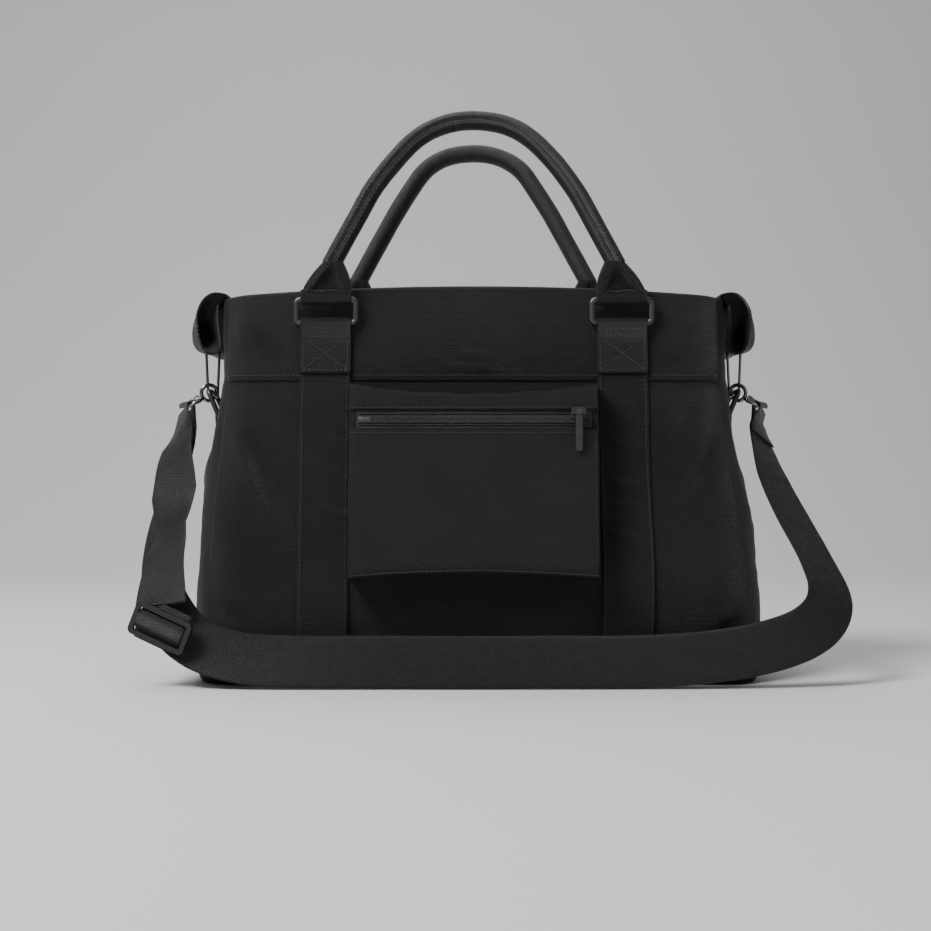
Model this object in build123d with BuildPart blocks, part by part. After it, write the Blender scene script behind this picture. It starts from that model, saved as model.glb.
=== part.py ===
"""Soft weekender bag with a trolley sleeve, two hand straps and a clip-on shoulder strap.

Millimetres. +Z is up, +X runs along the bag and -Y is the rear side, which carries the sleeve.
The origin is on the floor under the middle of the bag. Fabric parts are plain closed solids.
"""
from build123d import *
import math
import os

os.makedirs("parts", exist_ok=True)

# Driving dimensions
WEBBING_WIDTH = 38.0  # every webbing on the bag is this wide
WEBBING_THICK = 1.6
WALL = 2.5  # outer cloth with its padding
LINING = 1.0
GAP = 0.3  # between sewn layers that are separate pieces
SEAM_HEIGHT = 227.0  # where the collar meets the lower panels
RIM_HEIGHT = 289.0  # the mouth's rim at its corners
RIM_ARCH = 8.0  # how much higher the rim is in the middle
REAR_BAND_X = 111.0
FRONT_BAND_X = 100.0
RING_WIRE = 2.35  # radius of the strap rings' wire
RING_INSIDE = 40.0  # clear width of a strap ring
RING_BARS = 17.3  # between the centres of a ring's two long bars
RUNNING_FIT = 0.1
LOOP_INNER = RING_WIRE + RUNNING_FIT
LOOP_OUTER = LOOP_INNER + WEBBING_THICK
LOWER_BAR_Z = 268.0
UPPER_BAR_Z = LOWER_BAR_Z + RING_BARS
HANDLE_RADIUS = 7.2
HANDLE_TOP = 419.5  # centre of the grip at its highest
FLARE_TOP = 312.0
SLEEVE_LOW = 81.0
SLEEVE_HIGH = 221.0
SLEEVE_HALF = 91.5
SLEEVE_FOOT = 88.0  # where the sleeve's sides leave the panel
SLEEVE_FLAT = 84.0  # half width of its flat face
SLEEVE_DEPTH = 24.0  # room for the trolley's tubes
FLAP_Z = 284.0
FLAP_HALF_X = 158.0
FLAP_HALF_Y = 47.0
FLAP_THICK = 1.6
SIDE_RING_WIRE = 2.0
TAB_WIDTH = 26.0
CORD_RADIUS = 4.4  # a round section with the same area as the flat webbing

# Height, half width, half depth and corner radius of the bag's body
LEVELS = [
    (0.0, 201.0, 88.0, 24.0),
    (8.0, 206.0, 93.0, 28.0),
    (60.0, 206.0, 93.0, 29.0),
    (140.0, 201.0, 81.024, 29.0),
    (SEAM_HEIGHT, 192.0, 68.0, 28.0),
    (RIM_HEIGHT, 188.0, 54.0, 26.0),
    (RIM_HEIGHT + 10.0, 187.4, 51.742, 26.0),
]


def body_size(height, column):
    """The body's half width (column 1) or half depth (column 2) at a height."""
    for low, high in zip(LEVELS, LEVELS[1:]):
        if height <= high[0]:
            share = (height - low[0]) / (high[0] - low[0])
            return low[column] + share * (high[column] - low[column])
    return LEVELS[-1][column]


def half_width(height):
    return body_size(height, 1)


def half_depth(height):
    return body_size(height, 2)


def save(part, name):
    """Label a finished piece and write it to its own file."""
    part.label = name
    export_step(part, f"parts/{name}.step")


# Body: one lofted shell, cut along its seams into the cloth panels
def body_solid(inset, floor):
    """The body's outer form, drawn in by a wall's thickness and standing on a floor height."""
    with BuildPart() as form:
        for height, half_x, half_y, corner in LEVELS:
            with BuildSketch(Plane.XY.offset(max(height, floor) if height < 8 else height)):
                RectangleRounded(2 * (half_x - inset), 2 * (half_y - inset), corner - inset)
        loft(ruled=True)
    return form.part


def under_rim():
    """Everything below the mouth's arched rim."""
    with BuildPart() as keep:
        with BuildSketch(Plane.XZ.offset(-150)):
            with BuildLine():
                Polyline((-260, RIM_HEIGHT), (-260, -10), (260, -10), (260, RIM_HEIGHT))
                Line((260, RIM_HEIGHT), (188, RIM_HEIGHT))
                ThreePointArc((188, RIM_HEIGHT), (0, RIM_HEIGHT + RIM_ARCH), (-188, RIM_HEIGHT))
                Line((-188, RIM_HEIGHT), (-260, RIM_HEIGHT))
            make_face()
        extrude(amount=300)
    return keep.part


def shell_solid(outer_inset, thickness, floor):
    with BuildPart() as shell:
        add(body_solid(outer_inset, floor))
        add(body_solid(outer_inset + thickness, floor + thickness), mode=Mode.SUBTRACT)
        add(under_rim(), mode=Mode.INTERSECT)
    return shell.part


def long_side(side):
    """The space over the front (+1) or rear (-1) panel, bounded by the corner seams."""
    with BuildPart() as space:
        for height, half_x, half_y in ((-1.0, 197.0, 84.0), (300.0, 178.0, 42.0)):
            with BuildSketch(Plane.XY.offset(height)):
                with BuildLine():
                    Polyline(
                        (-half_x, side * half_y),
                        (half_x, side * half_y),
                        (half_x + 120, side * (half_y + 120)),
                        (-half_x - 120, side * (half_y + 120)),
                        close=True,
                    )
                make_face()
        loft(ruled=True)
    return space.part


def slab(low, high):
    """A flat slab of space between two heights."""
    with BuildPart() as space:
        with BuildSketch(Plane.XY.offset(low)):
            Rectangle(700, 500)
        extrude(amount=high - low)
    return space.part


shell = shell_solid(0.0, WALL, 0.0)

with BuildPart() as base_panel:
    add(shell)
    add(slab(-5, WALL), mode=Mode.INTERSECT)
save(base_panel.part, "base_panel")

for side, side_name in ((-1, "rear"), (1, "front")):
    for low, high, name in ((WALL, SEAM_HEIGHT, "panel"), (SEAM_HEIGHT, 320, "collar")):
        with BuildPart() as cloth:
            add(shell)
            add(long_side(side), mode=Mode.INTERSECT)
            add(slab(low, high), mode=Mode.INTERSECT)
        save(cloth.part, f"{side_name}_{name}")

for side, side_name in ((-1, "left"), (1, "right")):
    with BuildPart() as gusset:
        add(shell)
        add(long_side(-1), mode=Mode.SUBTRACT)
        add(long_side(1), mode=Mode.SUBTRACT)
        add(slab(WALL, RIM_HEIGHT), mode=Mode.INTERSECT)
        with BuildSketch(Plane.YZ):
            Rectangle(400, 800)
        extrude(amount=side * 300, mode=Mode.INTERSECT)
    save(gusset.part, f"{side_name}_gusset")

with BuildPart() as lining:
    add(shell_solid(WALL + GAP, LINING, WALL + GAP))
    add(slab(0, FLAP_Z - 2), mode=Mode.INTERSECT)
save(lining.part, "lining")

BOARD_THICK = 3.0
BOARD_LOW = WALL + LINING + 2 * GAP
with BuildPart() as base_board:
    with BuildSketch(Plane.XY.offset(BOARD_LOW)):
        RectangleRounded(376, 152, 18)
    extrude(amount=BOARD_THICK)
save(base_board.part, "base_board")

# Webbing bands: each runs up the cloth, over a strap ring's lower bar and back down
BAND_GAP = 0.25
RING_Y = half_depth(LOWER_BAR_Z) + BAND_GAP + WEBBING_THICK + LOOP_INNER
BAND_HEIGHTS = [3.0, 8.0, 60.0, SEAM_HEIGHT, LOWER_BAR_Z]
TAIL_LOW = 230.0
TAIL_HIGH = 256.5


def band_face(height, layers):
    """How far out a band's face is after a number of webbing layers."""
    return half_depth(height) + BAND_GAP + layers * WEBBING_THICK


for side, side_name, band_x in ((-1, "rear", REAR_BAND_X), (1, "front", FRONT_BAND_X)):
    for across, across_name in ((-1, "left"), (1, "right")):
        with BuildPart() as band:
            with BuildSketch(Plane.YZ.offset(across * band_x - WEBBING_WIDTH / 2)):
                with BuildLine():
                    inner = [(side * band_face(z, 0), z) for z in BAND_HEIGHTS]
                    outer = [(side * band_face(z, 1), z) for z in reversed(BAND_HEIGHTS)]
                    Polyline(*inner, *outer, close=True)
                make_face()
                with BuildLine():
                    Polyline(
                        (side * (RING_Y + LOOP_INNER), LOWER_BAR_Z),
                        (side * (RING_Y + LOOP_OUTER), LOWER_BAR_Z),
                        (side * (band_face(TAIL_HIGH, 2) + 1.5), TAIL_HIGH + 2),
                        (side * band_face(TAIL_LOW, 2), TAIL_LOW),
                        (side * band_face(TAIL_LOW, 1), TAIL_LOW),
                        (side * band_face(TAIL_HIGH, 1), TAIL_HIGH),
                        close=True,
                    )
                make_face()
                with Locations((side * RING_Y, LOWER_BAR_Z)):
                    Circle(LOOP_OUTER)
                    Circle(LOOP_INNER, mode=Mode.SUBTRACT)
            extrude(amount=WEBBING_WIDTH)
        save(band.part, f"{side_name}_band_{across_name}")


# Strap rings: a closed rectangle of round wire between each band and its hand strap
def ring_wire(plane, width, height, bend, radius):
    """A closed rectangular ring of round wire; width and height are between wire centres."""
    with BuildPart() as ring:
        with BuildLine(plane) as route:
            Line((0, -height / 2), (width / 2 - bend, -height / 2))
            RadiusArc((width / 2 - bend, -height / 2), (width / 2, -height / 2 + bend), -bend)
            Line((width / 2, -height / 2 + bend), (width / 2, height / 2 - bend))
            RadiusArc((width / 2, height / 2 - bend), (width / 2 - bend, height / 2), -bend)
            Line((width / 2 - bend, height / 2), (bend - width / 2, height / 2))
            RadiusArc((bend - width / 2, height / 2), (-width / 2, height / 2 - bend), -bend)
            Line((-width / 2, height / 2 - bend), (-width / 2, bend - height / 2))
            RadiusArc((-width / 2, bend - height / 2), (bend - width / 2, -height / 2), -bend)
            Line((bend - width / 2, -height / 2), (0, -height / 2))
        start = route.wire() @ 0
        with BuildSketch(Plane(origin=start, z_dir=route.wire() % 0)):
            Circle(radius)
        sweep()
    return ring.part


RING_BEND = 3.2
for side, side_name, band_x in ((-1, "rear", REAR_BAND_X), (1, "front", FRONT_BAND_X)):
    for across, across_name in ((-1, "left"), (1, "right")):
        middle = (across * band_x, side * RING_Y, LOWER_BAR_Z + RING_BARS / 2)
        ring_plane = Plane(origin=middle, x_dir=(1, 0, 0), z_dir=(0, -1, 0))
        ring = ring_wire(ring_plane, RING_INSIDE + 2 * RING_WIRE, RING_BARS, RING_BEND, RING_WIRE)
        save(ring, f"{side_name}_ring_{across_name}")

# Hand straps: webbing rolled round a core, flattened at each foot and looped over its ring
FLARE_LOW = UPPER_BAR_Z + 3.4
ARCH_BEND = 45.0
for side, side_name, band_x in ((-1, "rear", REAR_BAND_X), (1, "front", FRONT_BAND_X)):
    foot_x = band_x - 4
    shoulder = (foot_x - 35, 376.0)
    crown = (30.0, HANDLE_TOP)
    leg = Vector(shoulder[0] - foot_x, 0, shoulder[1] - FLARE_TOP).normalized()
    handle_plane = Plane(origin=(0, side * RING_Y, 0), x_dir=(1, 0, 0), z_dir=(0, -1, 0))
    with BuildPart() as handle:
        with BuildLine(handle_plane) as arch:
            FilletPolyline(
                (-foot_x, FLARE_TOP),
                (-shoulder[0], shoulder[1]),
                (-crown[0], crown[1]),
                crown,
                shoulder,
                (foot_x, FLARE_TOP),
                radius=ARCH_BEND,
            )
        with BuildSketch(Plane(origin=arch.wire() @ 0, z_dir=arch.wire() % 0)):
            Circle(HANDLE_RADIUS)
        sweep()
        for across in (-1, 1):
            with BuildSketch(Plane.XY.offset(FLARE_LOW)):
                with Locations((across * band_x, side * RING_Y)):
                    Rectangle(WEBBING_WIDTH, 5.0)
            foot_end = (across * foot_x, side * RING_Y, FLARE_TOP)
            leg_way = (across * leg.X, 0, leg.Z)
            with BuildSketch(Plane(origin=foot_end, x_dir=(leg_way[2], 0, -leg_way[0]), z_dir=leg_way)):
                RectangleRounded(2 * HANDLE_RADIUS, 2 * HANDLE_RADIUS, HANDLE_RADIUS - 0.2)
            loft()
            with BuildSketch(Plane.YZ.offset(across * band_x - WEBBING_WIDTH / 2)):
                with Locations((side * RING_Y, UPPER_BAR_Z)):
                    Circle(LOOP_OUTER)
            extrude(amount=WEBBING_WIDTH)
            with BuildSketch(Plane.YZ.offset(across * band_x - WEBBING_WIDTH / 2)):
                with Locations((side * RING_Y, UPPER_BAR_Z)):
                    Circle(LOOP_INNER)
            extrude(amount=WEBBING_WIDTH, mode=Mode.SUBTRACT)
    save(handle.part, f"{side_name}_handle")

# Trolley sleeve: two cloth layers standing off the rear panel, open at the top and the bottom
SLEEVE_SLOPE = math.atan2(half_depth(60) - half_depth(SEAM_HEIGHT), SEAM_HEIGHT - 60)
SLEEVE_UP = (0, math.sin(SLEEVE_SLOPE), math.cos(SLEEVE_SLOPE))
SLEEVE_LENGTH = (SLEEVE_HIGH - SLEEVE_LOW) / math.cos(SLEEVE_SLOPE)
sleeve_plane = Plane(origin=(0, -half_depth(SLEEVE_LOW), SLEEVE_LOW), x_dir=(1, 0, 0), z_dir=SLEEVE_UP)


def sleeve_line(off):
    """The sleeve's cross section at a distance outside its innermost face."""
    return [
        (-SLEEVE_HALF, -GAP - off),
        (-SLEEVE_FOOT - 0.8 * off, -GAP - off),
        (-SLEEVE_FLAT - 0.8 * off, -SLEEVE_DEPTH - off),
        (SLEEVE_FLAT + 0.8 * off, -SLEEVE_DEPTH - off),
        (SLEEVE_FOOT + 0.8 * off, -GAP - off),
        (SLEEVE_HALF, -GAP - off),
    ]


BACKING = 1.2
COVER_IN = BACKING + GAP
COVER_OUT = COVER_IN + 1.6
ZIP_UP = 115.0  # the zip's middle above the sleeve's lower edge, along the slope
ZIP_SLOT = 9.0
ZIP_HALF = 82.0
sleeve_face = Plane(sleeve_plane.origin, x_dir=(1, 0, 0), z_dir=-Vector(sleeve_plane.y_dir))
ZIP_OUT = SLEEVE_DEPTH + COVER_IN

for name, inside, outside in (("sleeve_backing", 0.0, BACKING), ("sleeve_cover", COVER_IN, COVER_OUT)):
    with BuildPart() as layer:
        with BuildSketch(sleeve_plane):
            with BuildLine():
                Polyline(*sleeve_line(inside), *reversed(sleeve_line(outside)), close=True)
            make_face()
        extrude(amount=SLEEVE_LENGTH)
        if name == "sleeve_cover":
            with BuildSketch(sleeve_face.offset(SLEEVE_DEPTH)):
                with Locations((0, ZIP_UP)):
                    Rectangle(2 * ZIP_HALF, ZIP_SLOT)
            extrude(amount=6, mode=Mode.SUBTRACT)
    save(layer.part, name)

with BuildPart() as pocket_zip:
    with BuildSketch(sleeve_face.offset(ZIP_OUT)):
        with Locations((0, ZIP_UP)):
            Rectangle(2 * ZIP_HALF - 0.4, ZIP_SLOT - 0.4)
    extrude(amount=0.8)
    with BuildSketch(sleeve_face.offset(ZIP_OUT)):
        with Locations((0, ZIP_UP)):
            Rectangle(2 * ZIP_HALF - 6, 3.6)
    extrude(amount=1.5)
save(pocket_zip.part, "pocket_zip")


# Zip sliders and their pulls
BRIDGE_HEIGHT = 4.8  # the pull's axis above the slider's plane
BRIDGE_WIRE = 0.9
PULL_LENGTH = 28.0
PULL_THICK = 1.5


def zip_slider(plane):
    """A slider body with a bridge for its pull; the zip runs along the plane's x."""
    with BuildPart() as slider:
        with BuildSketch(plane):
            RectangleRounded(11, 8.4, 2)
        extrude(amount=2.6)
        with BuildSketch(plane):
            with Locations((-3.6, 0), (3.6, 0)):
                Rectangle(1.6, 3.2)
        extrude(amount=BRIDGE_HEIGHT + 1.5)
        side_plane = Plane(plane.from_local_coords((-4, 0, BRIDGE_HEIGHT)), z_dir=plane.x_dir)
        with BuildSketch(side_plane):
            Circle(BRIDGE_WIRE)
        extrude(amount=8)
    return slider.part


def zip_pull(plane):
    """A flat pull turning on a bridge along the plane's x; it reaches along -y of the plane."""
    barrel_plane = Plane(plane.from_local_coords((-2, 0, 0)), z_dir=plane.x_dir)
    with BuildPart() as pull:
        with BuildSketch(plane.offset(-PULL_THICK / 2)):
            with Locations((0, -PULL_LENGTH / 2)):
                RectangleRounded(5.0, PULL_LENGTH, 2.2)
        extrude(amount=PULL_THICK)
        with BuildSketch(barrel_plane):
            Circle(2.0)
        extrude(amount=4)
        with BuildSketch(barrel_plane.offset(-1)):
            Circle(BRIDGE_WIRE + RUNNING_FIT)
        extrude(amount=6, mode=Mode.SUBTRACT)
    return pull.part


POCKET_SLIDER_X = 76.0
slider_plane = sleeve_face.offset(SLEEVE_DEPTH + COVER_OUT + GAP)
slider_origin = slider_plane.from_local_coords((POCKET_SLIDER_X, ZIP_UP, 0))
pocket_plane = Plane(slider_origin, x_dir=(1, 0, 0), z_dir=sleeve_face.z_dir)
save(zip_slider(pocket_plane), "pocket_slider")
pocket_pivot = pocket_plane.from_local_coords((0, 0, BRIDGE_HEIGHT))
save(zip_pull(Plane(pocket_pivot, x_dir=(1, 0, 0), z_dir=(0, -1, 0))), "pocket_pull")

# Mouth: two cloth flaps meet at a zip along the middle, each with its own half of the zip
CLOTH_EDGE = 6.0  # the cloth stops this far from the zip's middle
TAPE_WIDTH = 15.0
TAPE_THICK = 0.8
ZIP_SPLIT = 0.15
COIL_HEIGHT = 1.4
for side, side_name in ((-1, "rear"), (1, "front")):
    with BuildPart() as flap:
        with BuildSketch(Plane.XY.offset(FLAP_Z)):
            with Locations((0, side * (FLAP_HALF_Y + CLOTH_EDGE) / 2)):
                Rectangle(2 * FLAP_HALF_X, FLAP_HALF_Y - CLOTH_EDGE)
        extrude(amount=FLAP_THICK)
    save(flap.part, f"{side_name}_flap")
    with BuildPart() as tape:
        with BuildSketch(Plane.XY.offset(FLAP_Z - TAPE_THICK)):
            with Locations((0, side * (TAPE_WIDTH / 2 + ZIP_SPLIT))):
                Rectangle(2 * FLAP_HALF_X, TAPE_WIDTH)
        extrude(amount=TAPE_THICK)
        with BuildSketch(Plane.XY.offset(FLAP_Z)):
            with Locations((0, side * (1.2 + ZIP_SPLIT))):
                Rectangle(2 * FLAP_HALF_X - 4, 2.4)
        extrude(amount=COIL_HEIGHT)
    save(tape.part, f"{side_name}_zip_tape")

MAIN_SLIDER_X = 146.0
main_height = FLAP_Z + COIL_HEIGHT + GAP
main_plane = Plane((MAIN_SLIDER_X, 0, main_height), x_dir=(1, 0, 0), z_dir=(0, 0, 1))
save(zip_slider(main_plane), "main_slider")
PULL_DROOP = math.radians(6.5)  # the pull lies with its tip down on the rear flap
droop_normal = (0, -math.sin(PULL_DROOP), math.cos(PULL_DROOP))
main_pivot = (MAIN_SLIDER_X, 0, main_height + BRIDGE_HEIGHT)
save(zip_pull(Plane(main_pivot, x_dir=(1, 0, 0), z_dir=droop_normal)), "main_pull")

# Side fittings: the wings are the mouth's folded ends, each held down by a wire clip
WING_HALF_Y = 40.0
TAB_TOP = 200.0  # height of the side ring's straight bar
TAB_LOW = 160.0
TAB_LOOP = SIDE_RING_WIRE + RUNNING_FIT
SIDE_RING_X = half_width(TAB_TOP) + BAND_GAP + WEBBING_THICK + TAB_LOOP
SIDE_RING_REACH = (8.0, 19.0)  # from the straight bar to the far bar, outwards and upwards
SIDE_RING_SPAN = 35.0
SIDE_RING_BEND = 3.6
FAR_X = SIDE_RING_X + SIDE_RING_REACH[0]
FAR_Z = TAB_TOP + SIDE_RING_REACH[1]
CLIP_WIRE = 1.1
CLIP_Y = 5.0
HOOK_TILT = math.radians(30)  # the hook hangs down from the side ring by this angle
HOOK_TURN = math.radians(20)  # and is drawn towards the rear by this one
EYE_INNER = 4.8
HOOK_WIRE = 1.5
EYE_RADIUS = EYE_INNER + HOOK_WIRE
GATE_ANGLE = 60.0
GATE_WIRE = 1.2
POST_RADIUS = 1.6
COLLAR_AT = 10.5  # from the eye's centre to the strap loop's near bar
LOOP_LENGTH = 10.0
LOOP_WIRE = 1.6
LOOP_SPAN = 42.0
WING_HINGE_X = 188.8
WING_HINGE_Z = RIM_HEIGHT + 0.6

for side, side_name in ((-1, "left"), (1, "right")):
    with BuildPart() as wing:
        with BuildSketch(Plane.XZ.offset(-WING_HALF_Y)):
            with BuildLine():
                Line((side * WING_HINGE_X, WING_HINGE_Z), (side * WING_HINGE_X, 293.2))
                ThreePointArc((side * WING_HINGE_X, 293.2), (side * 211, 287), (side * 219.3, 268))
                ThreePointArc((side * 219.3, 268), (side * 216.5, 255.5), (side * 208, 250.5))
                ThreePointArc((side * 208, 250.5), (side * 204.5, 253), (side * 204, 258))
                Line((side * 204, 258), (side * 204, 268))
                ThreePointArc((side * 204, 268), (side * 200, 282), (side * WING_HINGE_X, WING_HINGE_Z))
            make_face()
        extrude(amount=2 * WING_HALF_Y)
    save(wing.part, f"{side_name}_wing")

    clip_plane = Plane(origin=(side * FAR_X, CLIP_Y, FAR_Z), x_dir=(1, 0, 0), z_dir=(0, -1, 0))
    with BuildPart() as clip:
        with BuildLine(clip_plane) as bent:
            FilletPolyline((-5.5, 38), (-3.7, -3.6), (3.7, -3.6), (5.5, 38), radius=3.4)
        with BuildSketch(Plane(origin=bent.wire() @ 0, z_dir=bent.wire() % 0)):
            Circle(CLIP_WIRE)
        sweep()
    save(clip.part, f"{side_name}_wing_clip")

    tab_heights = [TAB_LOW, TAB_TOP]
    with BuildPart() as tab:
        with BuildSketch(Plane.XZ.offset(-TAB_WIDTH / 2)):
            with BuildLine():
                inner = [(side * (half_width(z) + BAND_GAP), z) for z in tab_heights]
                middle = [(side * (half_width(z) + BAND_GAP + WEBBING_THICK), z) for z in tab_heights]
                Polyline(*inner, *reversed(middle), close=True)
            make_face()
            with BuildLine():
                low_x = half_width(TAB_LOW) + BAND_GAP + WEBBING_THICK
                Polyline(
                    (side * low_x, TAB_LOW),
                    (side * (low_x + WEBBING_THICK), TAB_LOW),
                    (side * (SIDE_RING_X + TAB_LOOP + WEBBING_THICK), TAB_TOP),
                    (side * (SIDE_RING_X + TAB_LOOP), TAB_TOP),
                    (side * (half_width(188) + BAND_GAP + WEBBING_THICK), 188),
                    close=True,
                )
            make_face()
            with Locations((side * SIDE_RING_X, TAB_TOP)):
                Circle(TAB_LOOP + WEBBING_THICK)
                Circle(TAB_LOOP, mode=Mode.SUBTRACT)
        extrude(amount=TAB_WIDTH)
    save(tab.part, f"{side_name}_side_tab")

    side_ring_middle = (side * (SIDE_RING_X + SIDE_RING_REACH[0] / 2), 0, TAB_TOP + SIDE_RING_REACH[1] / 2)
    side_ring_normal = (side * SIDE_RING_REACH[1], 0, -SIDE_RING_REACH[0])
    side_ring_plane = Plane(origin=side_ring_middle, x_dir=(0, 1, 0), z_dir=side_ring_normal)
    reach = math.hypot(*SIDE_RING_REACH)
    side_ring = ring_wire(side_ring_plane, SIDE_RING_SPAN, reach, SIDE_RING_BEND, SIDE_RING_WIRE)
    save(side_ring, f"{side_name}_side_ring")

    # The hook's own plane: x runs out along the hook and y is up
    eye_centre = (side * (FAR_X + 1.2), -CLIP_Y, FAR_Z - 0.9)
    outwards = (
        side * math.cos(HOOK_TILT) * math.cos(HOOK_TURN),
        -math.cos(HOOK_TILT) * math.sin(HOOK_TURN),
        -math.sin(HOOK_TILT),
    )
    across = (-math.sin(HOOK_TURN), -side * math.cos(HOOK_TURN), 0)
    hook_plane = Plane(origin=eye_centre, x_dir=outwards, z_dir=across)
    with BuildPart() as hook:
        with BuildLine(hook_plane) as eye:
            CenterArc((0, 0), EYE_RADIUS, GATE_ANGLE - 120, 360 - GATE_ANGLE)
        with BuildSketch(Plane(origin=eye.wire() @ 0, z_dir=eye.wire() % 0)):
            Circle(HOOK_WIRE)
        sweep()
        post_plane = Plane(hook_plane.from_local_coords((EYE_RADIUS, 0, 0)), z_dir=outwards)
        with BuildSketch(post_plane):
            Circle(POST_RADIUS)
        extrude(amount=COLLAR_AT + 2.4 - EYE_RADIUS)
        with BuildSketch(post_plane.offset(COLLAR_AT + 2.1 - EYE_RADIUS)):
            Circle(POST_RADIUS + 0.8)
        extrude(amount=1.6)
    save(hook.part, f"{side_name}_hook")

    gate_half = EYE_RADIUS / 2 - 1.0
    gate_low = -EYE_RADIUS * math.sin(math.radians(60))
    gate_start = hook_plane.from_local_coords((-gate_half, gate_low, 0))
    with BuildPart() as gate:
        with BuildSketch(Plane(gate_start, z_dir=outwards)):
            Circle(GATE_WIRE)
        extrude(amount=2 * gate_half)
        nub = hook_plane.from_local_coords((0, gate_low, 0))
        with BuildSketch(Plane(nub, z_dir=-hook_plane.y_dir)):
            Circle(0.8)
        extrude(amount=GATE_WIRE + 1.2)
    save(gate.part, f"{side_name}_hook_gate")

    loop_origin = hook_plane.from_local_coords((COLLAR_AT + LOOP_LENGTH / 2, 0, 0))
    loop_plane = Plane(origin=loop_origin, x_dir=across, z_dir=hook_plane.y_dir)
    collar_plane = Plane(hook_plane.from_local_coords((COLLAR_AT - 1.8, 0, 0)), z_dir=outwards)
    with BuildPart() as strap_loop:
        add(ring_wire(loop_plane, LOOP_SPAN, LOOP_LENGTH, 3.0, LOOP_WIRE))
        with BuildSketch(collar_plane):
            Circle(POST_RADIUS + 1.6)
        extrude(amount=3.6)
        with BuildSketch(collar_plane.offset(-1)):
            Circle(POST_RADIUS + RUNNING_FIT)
        extrude(amount=5.6, mode=Mode.SUBTRACT)
    save(strap_loop.part, f"{side_name}_strap_loop")

# Shoulder strap: flat webbing that hangs from both hooks and lies on edge along the rear base.
# Its solid is a plain round cord of the webbing's own section area along its middle line.
STRAP_ROUTE = [
    (-220.0, -11.5, 204.0),
    (-222.5, -26.0, 172.0),
    (-231.0, -42.0, 141.0),
    (-235.5, -58.0, 112.0),
    (-235.0, -75.0, 85.0),
    (-228.0, -90.0, 59.0),
    (-208.0, -103.5, 33.0),
    (-170.0, -109.5, 21.0),
    (-118.0, -112.5, 19.5),
    (-60.0, -113.5, 20.0),
    (0.0, -114.0, 19.5),
    (60.0, -113.5, 20.0),
    (118.0, -112.0, 19.5),
    (170.0, -110.5, 22.5),
    (216.0, -107.0, 30.0),
    (249.0, -100.0, 42.0),
    (265.0, -88.0, 62.0),
    (255.0, -72.0, 92.0),
    (241.0, -54.0, 122.0),
    (229.5, -35.0, 152.0),
    (224.5, -19.0, 180.0),
    (222.5, -11.5, 204.0),
]
FOLD_ROUTE = [
    (-230.5, -11.5, 204.0),
    (-230.5, -39.0, 172.0),
    (-225.0, -62.0, 141.0),
    (-223.0, -80.0, 113.0),
    (-227.0, -95.0, 86.0),
    (-225.0, -103.5, 65.0),
]


def cord(route):
    """A round cord along a route, each corner rounded as far as its two runs allow."""
    points = [Vector(*point) for point in route]
    radii = []
    for before, corner, after in zip(points, points[1:], points[2:]):
        turn = math.radians((corner - before).get_angle(after - corner))
        run = min((corner - before).length, (after - corner).length)
        radii.append(0.45 * run / math.tan(turn / 2))
    print("bend radii:", [round(radius, 1) for radius in radii])
    with BuildPart() as tube:
        with BuildLine() as path:
            FilletPolyline(*points, radius=radii)
        with BuildSketch(Plane(origin=path.wire() @ 0, z_dir=path.wire() % 0)):
            Circle(CORD_RADIUS)
        sweep()
    length = path.wire().length
    print("length", round(length, 1), "volume share", tube.part.volume / (length * math.pi * CORD_RADIUS**2))
    return tube.part


save(cord(STRAP_ROUTE), "shoulder_strap")
save(cord(FOLD_ROUTE), "strap_fold")

# Three-bar slide that sets the strap's length, at the lower left bend
SLIDE_WIDTH = 46.0
SLIDE_HEIGHT = 25.0
SLIDE_THICK = 3.2
slide_plane = Plane(origin=(-226.0, -108.5, 44.0), x_dir=(1, -0.25, -0.42), z_dir=(-0.25, -1, 0))
with BuildPart() as strap_slide:
    with BuildSketch(slide_plane):
        RectangleRounded(SLIDE_WIDTH, SLIDE_HEIGHT, 4)
        with Locations((0, -5.6), (0, 5.6)):
            RectangleRounded(SLIDE_WIDTH - 7, 6.4, 1.5, mode=Mode.SUBTRACT)
    extrude(amount=SLIDE_THICK)
save(strap_slide.part, "strap_slide")
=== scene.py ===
import math
import bmesh
import bpy
import numpy as np
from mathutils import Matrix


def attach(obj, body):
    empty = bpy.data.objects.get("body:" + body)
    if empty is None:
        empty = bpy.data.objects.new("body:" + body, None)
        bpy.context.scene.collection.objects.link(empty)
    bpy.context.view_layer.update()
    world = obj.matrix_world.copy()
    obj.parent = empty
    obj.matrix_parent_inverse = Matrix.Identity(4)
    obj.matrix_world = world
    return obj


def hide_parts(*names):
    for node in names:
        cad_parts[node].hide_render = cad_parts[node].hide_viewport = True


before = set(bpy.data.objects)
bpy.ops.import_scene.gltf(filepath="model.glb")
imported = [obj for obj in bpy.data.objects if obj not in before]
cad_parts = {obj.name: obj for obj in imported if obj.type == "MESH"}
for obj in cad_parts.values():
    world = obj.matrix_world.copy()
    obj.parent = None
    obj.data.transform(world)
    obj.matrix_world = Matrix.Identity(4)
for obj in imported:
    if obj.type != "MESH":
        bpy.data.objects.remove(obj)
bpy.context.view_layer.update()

mm = 0.001

# Stage: a pale seamless sweep that the bag stands on, a soft key light from the upper left in front, a weak
# broad fill from the right, and a broad light above and behind the bag that catches the cloth's edges.


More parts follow.
